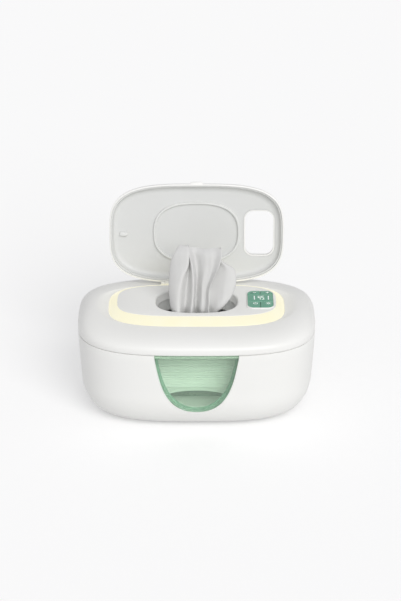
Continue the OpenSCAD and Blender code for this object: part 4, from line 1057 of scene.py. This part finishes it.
SMALL_R = 0.8
lens = cap_piece("display_face", FIELD_W, LENS_D, [SMALL_R] * 4, 0, LENS_Y)
put(lens, GREEN_GLOSS, "cover", ["display_lens"])
for side, end, y, d in ((-1, "front", FRONT_KEY_Y, FRONT_KEY_D), (1, "front", FRONT_KEY_Y, FRONT_KEY_D),
                        (-1, "rear", REAR_KEY_Y, REAR_KEY_D), (1, "rear", REAR_KEY_Y, REAR_KEY_D)):
    corner = {(1, "rear"): 0, (-1, "rear"): 1, (-1, "front"): 2, (1, "front"): 3}[side, end]
    radii = [FIELD_R if k == corner else SMALL_R for k in range(4)]
    hand = "left" if side < 0 else "right"
    key = cap_piece(f"key_cap_{end}_{hand}", KEY_W, d, radii, side * KEY_X, y)
    at = (PANEL_X + side * KEY_X, PANEL_Y + y, 0)
    stem = turned("stem", [(1.6, 109.75), (1.6, KEY_TOP - 2.3)], "Z", at, 24)
    key = dress(together(f"key_cap_{end}_{hand}", [key, stem]))
    put(key, GREEN_GLOSS, f"{end}_{hand}_key", [f"key_{end}_{hand}"])

# %% [markdown]
# ## Signs in white ink
#
# The signs are screen printed in white: a plain number with a bar on each side on the lens, a lamp and
# a switch on the front keys, minus and plus on the rear keys. Real ink is a few hundredths of a
# millimetre thick, so each sign is a flat shape of that height. It keeps its sharp edge at any
# distance, which a drawn texture would not.

# %% Signs in white ink
INK_T = 0.05


def ink(name, outlines, body):
    """Thin flat shapes just over the keys' faces, from outlines in millimetres on the panel."""
    sheets = []
    for outline in outlines:
        flat = np.array([(PANEL_X + x, PANEL_Y + y) for x, y in outline])
        rings = [np.column_stack([flat, np.full(len(flat), z)]) for z in (KEY_TOP + 0.01, KEY_TOP + INK_T)]
        sheets.append(skin("mark", rings))
    return put(together(name, sheets), INK_WHITE_GLOWING, body, ())


def bar(x, y, w, d):
    return [(x - w / 2, y - d / 2), (x + w / 2, y - d / 2), (x + w / 2, y + d / 2), (x - w / 2, y + d / 2)]


def arc(x, y, r, t, start, end, steps=20):
    """A part of a flat ring of radius r and stroke t."""
    a = np.radians(np.linspace(start, end, steps))
    outside = [(x + (r + t / 2) * math.cos(v), y + (r + t / 2) * math.sin(v)) for v in a]
    inside = [(x + (r - t / 2) * math.cos(v), y + (r - t / 2) * math.sin(v)) for v in a[::-1]]
    return outside + inside


def digit(number, x, y, w, h, t):
    """A four or a five in seven segments, whose lower left one stays dark in both."""
    lit = {4: "fgbc", 5: "afgcd"}[number]
    place = {
        "a": (x, y + h / 2 - t / 2, w, t), "g": (x, y, w, t), "d": (x, y - h / 2 + t / 2, w, t),
        "f": (x - w / 2 + t / 2, y + h / 4, t, h / 2), "b": (x + w / 2 - t / 2, y + h / 4, t, h / 2),
        "c": (x + w / 2 - t / 2, y - h / 4, t, h / 2),
    }
    return [bar(*place[k]) for k in lit]


GLYPH_X, GLYPH_H, GLYPH_W, STROKE = 0.8, 9.0, 2.7, 0.75
marks = digit(4, GLYPH_X - 1.9, LENS_Y, GLYPH_W, GLYPH_H, STROKE)
marks += digit(5, GLYPH_X + 1.9, LENS_Y, GLYPH_W, GLYPH_H, STROKE)
marks += [bar(-6.2, LENS_Y, 1.0, 9.0), bar(8.6, LENS_Y, 1.0, 9.0)]
ink("ink_number", marks, "cover")
sign_y = FRONT_KEY_Y + 2.6
switch_x = -KEY_X + 1.6
switch = [arc(switch_x, sign_y, 2.0, 0.6, 125, 415), bar(switch_x, sign_y + 1.4, 0.6, 2.4)]
ink("ink_switch", switch, "front_left_key")
lamp = [arc(KEY_X + 1.4, sign_y, 1.2, 0.6, 0, 359, 28)]
for turn in range(0, 360, 45):
    v = math.radians(turn)
    middle_x, middle_y = KEY_X + 1.4 + 2.5 * math.cos(v), sign_y + 2.5 * math.sin(v)
    lamp.append(bar(middle_x, middle_y, 0.55, 0.55))
ink("ink_lamp", lamp, "front_right_key")
sign_y = REAR_KEY_Y - 0.4
ink("ink_minus", [bar(-KEY_X + 1.0, sign_y, 3.4, 0.75)], "rear_left_key")
plus = [bar(KEY_X + 1.0, sign_y, 3.4, 0.75)]
plus += [bar(KEY_X + 1.0, sign_y + y, 0.75, 1.35) for y in (1.05, -1.05)]
ink("ink_plus", plus, "rear_right_key")

# %% [markdown]
# ## Flip lid
#
# The lid is drawn shut, where its rings are level, and then turned back about its hinge by the angle
# that the photograph shows. Its crown comes from one smooth profile from rim to middle. The window
# over the panel has a collar that joins the outside to the inside face.

# %% Lid
LID_HALF_W, LID_HALF_D, LID_RIM_Z, LID_DISH, LID_ANGLE = 93.7, 53.6, 107.8, 8.4, 102.0
LID_WINDOW_W, LID_WINDOW_D, LID_WINDOW_R = 30.2, 47.2, 9.0
opening = (
    Matrix.Translation((0, LID_AXIS_Y * MM, LID_AXIS_Z * MM))
    @ Matrix.Rotation(-math.radians(LID_ANGLE), 4, "X")
    @ Matrix.Translation((0, -LID_AXIS_Y * MM, -LID_AXIS_Z * MM))
)
FACE_Z = LID_RIM_Z + LID_DISH


def lid_ring(inset, rise):
    return ring(LID_HALF_W - inset, LID_HALF_D - inset, RING_SQUARE, LID_RIM_Z + rise)


def lid_window(name, grow, low, high):
    radii = [LID_WINDOW_R + grow] * 4
    size = (LID_WINDOW_W + 2 * grow, LID_WINDOW_D + 2 * grow)
    return skin(name, [rounded(*size, radii, z, x=PANEL_X, y=PANEL_Y) for z in (low, high)])


def outside():
    crown = smooth_line([(0, 1.5), (0.5, 7.0), (2, 9.6), (5.4, 12.4), (12, 13.9), (26, 14.8), (40, 15.2)], 6)
    return [lid_ring(0.25, 0), lid_ring(0.06, 0.12), lid_ring(0, 0.4)] + [lid_ring(i, z) for i, z in crown]


def inside(low):
    crown = smooth_line([(1.7, 1.5), (2.2, 6.8), (3.5, 8.7), (6.6, 10.7), (13, 12.1), (40, 13.5)], 5)
    return [lid_ring(1.7, low)] + [lid_ring(i, z) for i, z in crown]


def clear_of_ears(mesh):
    """The mesh with room cut out for the cover's four hinge ears."""
    for side in (-1, 1):
        for first in (-LID_KNUCKLE / 2 - 2 * EAR_PLAY - EAR_W, LID_KNUCKLE / 2 + 0.01):
            at = (side * LID_HINGE_X + first, LID_AXIS_Y, LID_AXIS_Z)
            mesh = carved(mesh, rod("tool", EAR_W + 2 * EAR_PLAY, LID_KNUCKLE_R + 0.5, at, 0.05))
    return mesh


collar = lid_window("collar", 1.6, FACE_Z, FACE_Z + 12)
collar = carved(collar, lid_window("tool", 0, FACE_Z - 1, FACE_Z + 13))
hollow = carved(skin("hollow", inside(-1)), collar)
lid = carved(skin("lid_outer", outside()), hollow)
lid = carved(lid, lid_window("tool", 0, LID_RIM_Z - 5, LID_RIM_Z + 30))
lid = clear_of_ears(lid)
parts = []
for side in (-1, 1):
    at = (side * LID_HINGE_X - LID_KNUCKLE / 2, LID_AXIS_Y, LID_AXIS_Z)
    parts.append(rod("knuckle", LID_KNUCKLE, LID_KNUCKLE_R, at))
TAB_W, TAB_PROUD = 13.3, 2.2
tab_rings = []
for z, i in ((0.2, 0.3), (0.5, 0.0), (2.1, 0.0), (2.3, 0.12), (2.4, 0.4)):
    w, d = TAB_W - 2 * i, 3.4 - i
    y = -LID_HALF_D - TAB_PROUD + i + d / 2
    tab_rings.append(rounded(w, d, [0.3, 0.3, 1.4, 1.4], LID_RIM_Z + z, y=y))
parts.append(skin("tab", tab_rings))
lid = dress(together("lid_outer", [lid, *parts]))
lid.transform(opening)
put(lid, ABS_WHITE, "lid", ["lid_shell"])

# %% [markdown]
# ## Inside of the lid
#
# A liner snaps into the lid and makes its inside face: flat in the middle, with one soft rounding to
# the rim. The silicone bead presses on the deck round the opening and keeps the wipes moist, and the
# peg is a stop that keeps the lid from rattling.

# %% Lid liner, bead and peg
edge = smooth_line([(12, 8.4), (8.6, 8.4), (5.6, 7.6), (4.1, 5.8), (3.45, 3.4), (3.3, 1.8)], 6)
liner_rings = [lid_ring(i, z) for i, z in edge]
liner_rings += [lid_ring(3.2, 1.62), lid_ring(2.0, 1.62), lid_ring(1.85, 1.8)]
liner_rings += [lid_ring(i, z) for i, z in smooth_line([(2.3, 5.6), (4.0, 8.0), (7.2, 9.6)], 4)]
liner = carved(skin("lid_inner", liner_rings), lid_window("tool", 1.8, FACE_Z - 12, FACE_Z + 12))
liner = clear_of_ears(liner)
liner.transform(opening)
# The liner takes the white ABS painted darker, as painted shade.
put(liner, ABS_WHITE_SHADED, "lid", ["lid_liner"])

BEAD_A, BEAD_B, BEAD_W, BEAD_Z = OPEN_A + 2.4, OPEN_B + 2.2, 2.4, DECK_Z + 0.3
bead_rings = []
for u in range(0, 181, 15):
    t = math.radians(u)
    grow = BEAD_W / 2 * math.cos(t)
    z = BEAD_Z + 1.2 * (1 - math.sin(t))
    bead_rings.append(ring(BEAD_A + grow, BEAD_B + grow, OPEN_SQUARE, z))
bead_rings.insert(0, ring(BEAD_A + BEAD_W / 2, BEAD_B + BEAD_W / 2, OPEN_SQUARE, FACE_Z))
bead_rings.append(ring(BEAD_A - BEAD_W / 2, BEAD_B - BEAD_W / 2, OPEN_SQUARE, FACE_Z))
bead = skin("seal_bead", bead_rings, loop=True)
bead.transform(opening)
put(bead, SILICONE_PALE, "lid", ["lid_seal"])

PEG_X = -LID_HALF_W + 15.4
peg_rings = [rounded(8.8 - 2 * i, 4.6 - 2 * i, [2.2 - i] * 4, z, x=PEG_X, y=1.8) for z, i in (
    (FACE_Z, 0.0), (DECK_Z + 1.3, 0.05), (DECK_Z + 0.8, 0.25), (DECK_Z + 0.5, 0.7), (DECK_Z + 0.4, 1.4))]
peg = skin("stop_peg", peg_rings)
peg.transform(opening)
put(peg, SILICONE_PALE, "lid", ["lid_bumper"])

# %% [markdown]
# ## Screws
#
# All screws are the same small self-tapping kind: a low domed head with a cross recess. The head is
# a solid of revolution, and the recess is cut with two tapered bars, as the punch leaves it.

# %% Screws
SCREW_LEN, SHANK_R, HEAD_R, DOME_H = 9.0, 1.3, 2.7, 1.1
CROSS_LONG, CROSS_WIDE = 2.6, 0.62


def screw_mesh():
    """One screw with its seat at z 0, its head above and its shank below, in millimetres."""
    profile = [(SHANK_R, -SCREW_LEN), (SHANK_R, -0.05)]
    profile += [(HEAD_R - 0.15, 0.0), (HEAD_R, 0.15), (HEAD_R - 0.02, 0.5)]
    for t in (0.3, 0.6, 0.9, 1.2, 1.45):
        profile.append((HEAD_R * math.cos(t), 0.5 + DOME_H * math.sin(t)))
    head = turned("screw", profile, "Z", sides=32)
    for w, d in ((CROSS_LONG, CROSS_WIDE), (CROSS_WIDE, CROSS_LONG)):
        recess = [rounded(w * k, d * k, [0.12] * 4, z, 3) for z, k in ((0.55, 0.7), (2.2, 1.0))]
        head = carved(head, skin("tool", recess))
    return head


def screws(name, places, up, body, node):
    """Screws at places, with their heads up or down."""
    copies = []
    for x, y, z in places:
        mesh = screw_mesh()
        turn = Matrix.Identity(4) if up else Matrix.Rotation(math.pi, 4, "X")
        mesh.transform(Matrix.Translation((x * MM, y * MM, z * MM)) @ turn)
        copies.append(mesh)
    return put(dress(together(name, copies), 30), ZINC_STEEL, body, [node])


def corners(x, y, z):
    return [(sx * x, sy * y, z) for sx in (-1, 1) for sy in (-1, 1)]


screws("screws_tub", corners(91.0, 61.0, TUB_RIM_Z), True, "base", "tub_screws")
SEAT_Z = 90.7
screws("screws_cover", corners(POST_X, POST_Y, SEAT_Z), False, "cover", "cover_screws")
screws("screws_deck", corners(DECK_POST_X, DECK_POST_Y, SEAT_Z), False, "cover", "deck_screws")

# %% [markdown]
# ## The stack of wipes
#
# Wipes are folded and laid on each other, so the stack's side is a pile of soft folds: each layer
# bulges a little and its neighbour tucks in. The corners are round, since a moist cloth can't hold a
# sharp one, and the top sinks slightly towards the middle, where wipes have been pulled out.

# %% Stack of wipes
random = np.random.default_rng(7)
TRAY_TOP, WIPES_W, WIPES_D, WIPES_H, LAYERS = 37.0, 180.0, 98.0, 41.0, 15
stack_rings = []
z0, layer = TRAY_TOP + 0.1, WIPES_H / LAYERS
for k in range(LAYERS):
    shift = random.uniform(-0.35, 0.35, 2)
    for f, tuck in ((0.04, 0.95), (0.2, 0.35), (0.5, 0.0), (0.8, 0.3), (0.96, 0.9)):
        inset = 0.5 + tuck + (5.0 * max(0, f + k + 1 - LAYERS) ** 2 if k == LAYERS - 1 else 0)
        w, d, z = WIPES_W - 2 * inset, WIPES_D - 2 * inset, z0 + (k + f) * layer
        points = rounded(w, d, [9 - 0.5 * tuck] * 4, z, 14)
        points[:, :2] += shift
        stack_rings.append(points)
stack = put(skin("wipes_folded", stack_rings, sharp=80), WIPE_STACKED, "base", ["wipe_stack"])

# %% [markdown]
# ## Sponge, felt and gasket
#
# The sponge under the tray holds water, and its open cells let its sides bulge. The felt under the
# heater is punched from a flat sheet, so its edges stay nearly square. The gasket is a half round bead
# on the tub's rim, drawn as it is pressed by the cover.

# %% Sponge, felt and gasket
PAD_W, PAD_D, PAD_FOOT, PAD_T = 139.7, 62.2, 18.35, 8.9
pad_rings = []
for f in (0.0, 0.08, 0.25, 0.5, 0.75, 0.92, 1.0):
    swell = 1.2 * (1 - math.sqrt(max(0.0, 1 - (2 * f - 1) ** 4)))
    w, d, z = PAD_W - 2 * swell, PAD_D - 2 * swell, PAD_FOOT + PAD_T * f
    pad_rings.append(rounded(w, d, [12 - swell] * 4, z, 12))
pad_rings.append(rounded(PAD_W - 8, PAD_D - 8, [9] * 4, 27.28, 12))
sponge = put(skin("sponge_pad", pad_rings, sharp=80), SPONGE, "base", ["moisture_pad"])

FELT_W, FELT_D, SLOT_X = 156, 80, 52
felt_rings = [rounded(FELT_W - 2 * i, FELT_D - 2 * i, [8 - i] * 4, z, 8) for z, i in (
    (10.35, 0.5), (10.6, 0.1), (12.3, 0.0), (13.9, 0.1), (14.2, 0.5))]
felt = skin("felt_pad", felt_rings, sharp=60)
# Two slots leave room for the fuse and the sensor under the heater.
for x in (-SLOT_X, SLOT_X):
    felt = carved(felt, box_mesh("tool", (x - 11, -4, 9), (x + 11, 4, 16)))
put(felt, FELT, "base", ["insulation_pad"])

GASKET_Z = 88.45
gasket_rings = []
for u in range(0, 181, 20):
    t = math.radians(u)
    grow, z = 1.3 * math.cos(t) - 0.3, GASKET_Z + 2.25 * (0.35 + 0.65 * math.sin(t))
    gasket_rings.append(ring(TUB_HALF_W + grow, TUB_HALF_D + grow, TUB_SQUARE, z))
gasket_rings += [ring(TUB_HALF_W + g, TUB_HALF_D + g, TUB_SQUARE, GASKET_Z) for g in (-1.6, 1.0)]
put(skin("rim_gasket", gasket_rings, loop=True), SILICONE_PALE, "cover", ["cover_gasket"])

# %% [markdown]
# ## The pulled-up wipe
#
# The wipe is one sheet gathered into folds. Seen from above it runs to and fro: a left lobe, two
# narrow ridges, a broad face in the middle and a lobe that falls to the right. Each row below is one
# level of the cloth, given by where its folds lie, and the sheet is a smooth surface through them.
# Fine wrinkles run up along the folds, as moist cloth has them where it was squeezed through the
# opening. A thin wall makes it a cloth.

# %% Folds of the wipe
# Columns: hidden left edge, left outline, first ridge, valley, second ridge, dark fold, middle face in
# two points, third ridge, hidden fold, right lobe in two points, right edge. Values are x in mm.
FOLD_X = {
    99: (-14, -21, -17, -12, -6, -1, 3, 8, 12, 10, 15, 18, 12),
    106: (-16, -24, -18, -12, -6, -1, 4, 9, 13, 11, 18, 21, 13),
    113: (-18, -27, -19, -12, -5, -1, 4, 9, 13, 12, 22, 28, 18),
    124: (-19, -28.5, -19, -11, -4, -1, 5, 10, 13, 12, 28, 37, 26),
    135: (-19, -29, -18, -10, -3.5, 0, 6, 11, 13, 12, 31, 41, 30),
    148: (-18, -28.5, -15, -9, -3.6, 0, 8, 15, 18, 15, 33, 41, 31),
    159: (-16, -27, -10, -8, -5, -1, 9, 18, 23.5, 19, 32, 38, 28),
    168: (-13, -23.5, -9, -8.6, -7, -2, 9, 20, 26, 22, 27, 29, 24),
    175: (-10, -18, -9, -9, -8.6, -2, 9, 20, 25.5, 23, 24, 24, 22),
}
# How far each column lies behind the front of the bunch, in mm.
FOLD_Y = (15, 7, -1.5, 8, -1, 10, 3.5, 2.5, -2.5, 11, 6, 9, 16)
FRONT_Y = {
    99: -22, 106: -24.5, 113: -26.6, 124: -23.6, 135: -20.6, 148: -16.8, 159: -13.4, 168: -10.8, 175: -8.6,
}
DEPTH = {99: 1.2, 106: 1.25, 113: 1.3, 124: 1.35, 135: 1.3, 148: 1.2, 159: 1.05, 168: 0.8, 175: 0.45}


def cloth_rows(levels, steps_across, steps_up):
    """A grid of points of the cloth, smooth along and across."""
    rows = []
    for z in levels:
        line = [(x, FRONT_Y[z] + y * DEPTH[z], z) for x, y in zip(FOLD_X[z], FOLD_Y)]
        rows.append(smooth_line(line, steps_across))
    columns = [smooth_line([row[i] for row in rows], steps_up) for i in range(len(rows[0]))]
    return np.array(columns).transpose(1, 0, 2)


grid = cloth_rows(sorted(FOLD_X), 9, 6)
ups, across = grid.shape[:2]
print("points of the cloth:", across, "across,", ups, "up")

# %% [markdown]
# ## Wrinkles, edge and lobe
#
# A smooth sheet looks like plastic, so the cloth gets 26 fine wrinkles, each with its own place, width
# and lean. The free edge is uneven and curls back, and the right lobe sinks under its own weight.

# %% Wrinkles, edge and lobe
u, v = np.meshgrid(np.linspace(0, 1, across), np.linspace(0, 1, ups))
crease = np.zeros_like(u)
WRINKLES = 26
for _ in range(WRINKLES):
    place, width, lean = random.uniform(0, 1), random.uniform(0.008, 0.022), random.uniform(-0.12, 0.12)
    low, high = sorted(random.uniform(0, 1, 2))
    line = np.exp(-(((u - place - lean * (v - 0.5)) / width) ** 2))
    line *= np.clip((v - low) / 0.15, 0, 1) * np.clip((high + 0.2 - v) / 0.15, 0, 1)
    crease += random.uniform(-0.8, 0.8) * line
grid[:, :, 1] += crease
# The upper edge curls back, away from the eye.
grid[:, :, 1] += 5.0 * np.clip((v - 0.86) / 0.14, 0, 1) ** 2
edge_drop = 2.0 * np.sin(u[0] * 9.0) + 0.6 * np.sin(u[0] * 23.0 + 1)
grid[:, :, 2] += np.clip((v - 0.8) / 0.2, 0, 1) * edge_drop
# The right lobe falls over and ends lower than the middle.
LOBE_DROP, LOBE_FROM, LOBE_BLEND = 15.0, 0.70, 0.08
lobe = np.clip((u - LOBE_FROM) / LOBE_BLEND, 0, 1)
grid[:, :, 2] -= LOBE_DROP * lobe**2 * (3 - 2 * lobe) * np.clip((v - 0.55) / 0.45, 0, 1)
print("deepest wrinkle in mm:", round(float(np.abs(crease).max()), 1))

# %% [markdown]
# ## From the grid to a cloth
#
# The single sheet is given a wall of half a millimetre, centred on it, and rides on the cover.

# %% Wipe sheet
CLOTH_T, SHEET_W, FOLD_PLANE_Z = 0.5, 0.19, DECK_Z + 0.6
cloth_faces = [
    (j * across + i, j * across + i + 1, (j + 1) * across + i + 1, (j + 1) * across + i)
    for j in range(ups - 1)
    for i in range(across - 1)
]
cloth = bpy.data.meshes.new("wipe_sheet")
cloth.from_pydata((grid.reshape(-1, 3) * MM).tolist(), [], cloth_faces)
sheet = bpy.data.objects.new("wipe_sheet", cloth)
scene.collection.objects.link(sheet)
wall = sheet.modifiers.new("thickness", "SOLIDIFY")
wall.thickness, wall.offset = CLOTH_T * MM, 0
bpy.context.view_layer.update()
shown = sheet.evaluated_get(bpy.context.evaluated_depsgraph_get())
cloth_mesh = bpy.data.meshes.new_from_object(shown)
bpy.data.objects.remove(sheet)
bpy.data.meshes.remove(cloth)
cloth_mesh.name = "wipe_sheet"
# The sheet takes the cloth painted greyer, as painted shade.
sheet = put(dress(cloth_mesh, 75), WIPE_SHADED, "cover", ["wipe_tuft"])
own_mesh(sheet)

# %% [markdown]
# ## Finishes for the carried-over pieces
#
# The pieces inside the housing keep their packed form. They get the finish of their real material,
# and a small bevel where a moulded or cut edge would be eased.

# %% Finishes
FINISH = {
    "rubber_feet": RUBBER_GREY, "window_gasket": SILICONE_GREEN, "heater_plate": ROLLED_ALU,
    "heater_film": FILM, "thermal_fuse": TINNED_CAN, "temperature_sensor": EPOXY_BLACK,
    "power_board": FR4_GREEN, "dc_inlet": PBT_BLACK, "dc_pin": GROUND_STEEL, "heater_leads": WIRE_RED,
    "wipe_tray": PP_WHITE, "cover_hinge_pins": GROUND_STEEL, "led_board": FR4_WHITE, "leds": PHOSPHOR,
    "cover_liner": PP_WHITE, "control_board": FR4_GREEN, "tact_switches": PBT_BLACK,
    "display_module": PBT_BLACK, "lid_hinge_pins": GROUND_STEEL,
}
EASED = {
    "heater_plate": 0.25, "wipe_tray": 0.4, "power_board": 0.15, "dc_inlet": 0.25, "tact_switches": 0.15,
    "rubber_feet": 0.4,
}
for name, material in FINISH.items():
    node = NODE[name]
    node.data.materials.clear()
    node.data.materials.append(material)
    if name in EASED:
        ease = node.modifiers.new("eased", "BEVEL")
        ease.width, ease.segments, ease.limit_method = EASED[name] * MM, 2, "ANGLE"
        ease.angle_limit = math.radians(40)
print("finished nodes:", len(FINISH))

# %% [markdown]
# ## Floor and light
#
# The warmer stands on a white sweep in soft light from the front right, a little above the lens. The
# sky gives even light all round. What the camera sees of the floor is lifted towards white by a glow
# that only camera, mirror and see-through rays meet: gloss and the green pane show the same white, the
# floor's light on the warmer stays plain, and the shadow under the housing is kept.

# %% Floor
floor_mesh = bpy.data.meshes.new("floor")
FLOOR_HALF = 6.0
floor_corners = [(sx * FLOOR_HALF, sy * FLOOR_HALF, 0) for sx, sy in ((-1, -1), (1, -1), (1, 1), (-1, 1))]
floor_mesh.from_pydata(floor_corners, [], [(0, 1, 2, 3)])
floor = bpy.data.objects.new("floor", floor_mesh)
scene.collection.objects.link(floor)
floor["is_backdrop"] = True

FLOOR = bpy.data.materials.new("white_sweep")
FLOOR.use_nodes = True
tree = FLOOR.node_tree
tree.nodes.clear()
paper = add(tree, "ShaderNodeBsdfDiffuse", values={"Color": srgb("#e6e6e6")})
lift = add(tree, "ShaderNodeEmission", values={"Color": srgb("#ffffff"), "Strength": 0.32})
both = add(tree, "ShaderNodeAddShader")
tree.links.new(paper.outputs["BSDF"], both.inputs[0])
tree.links.new(lift.outputs["Emission"], both.inputs[1])
seen = add(tree, "ShaderNodeLightPath")
mirrored = add(
    tree, "ShaderNodeMath", {0: seen.outputs["Is Camera Ray"], 1: seen.outputs["Is Glossy Ray"]},
    operation="MAXIMUM",
)
viewed = add(
    tree, "ShaderNodeMath", {0: mirrored.outputs["Value"], 1: seen.outputs["Is Transmission Ray"]},
    operation="MAXIMUM",
)
choice = add(tree, "ShaderNodeMixShader", {"Fac": viewed.outputs["Value"]})
tree.links.new(paper.outputs["BSDF"], choice.inputs[1])
tree.links.new(both.outputs["Shader"], choice.inputs[2])
add(tree, "ShaderNodeOutputMaterial", {"Surface": choice.outputs["Shader"]})
floor_mesh.materials.append(FLOOR)
print("floor side in m:", 2 * FLOOR_HALF)

# %% [markdown]
# ## Light
#
# A broad sun of 42 degrees stands for a large window: it shapes the housing with soft shadows. The even
# sky fills them. Both are kept low enough that the white plastic never burns out.

# %% Light
SKY_STRENGTH, SUN_STRENGTH = 0.50, 1.66
world = bpy.data.worlds.new("studio")
scene.world = world
world.use_nodes = True
sky = world.node_tree.nodes["Background"]
sky.inputs["Color"].default_value = srgb("#fdfdff")
sky.inputs["Strength"].default_value = SKY_STRENGTH

sun_data = bpy.data.lights.new("window_light", "SUN")
sun_data.energy = SUN_STRENGTH
sun_data.angle = math.radians(42)
sun_data.color = (1.0, 0.995, 0.985)
sun = bpy.data.objects.new("window_light", sun_data)
scene.collection.objects.link(sun)
from_right, from_up = math.radians(20), math.radians(35)
direction = Vector((
    math.sin(from_right) * math.cos(from_up), -math.cos(from_right) * math.cos(from_up), math.sin(from_up)))
sun.rotation_euler = (-direction).to_track_quat("-Z", "Y").to_euler()
scene.view_settings.view_transform = "Standard"
print("light from", round(math.degrees(from_right)), "degrees to the right")

# %% [markdown]
# ## The box of what is seen
#
# The box of what is seen is printed in millimetres.

# %% The box of what is seen
low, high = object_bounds()
print("seen box in mm:", [round(1000 * v, 1) for v in (*low, *high)])
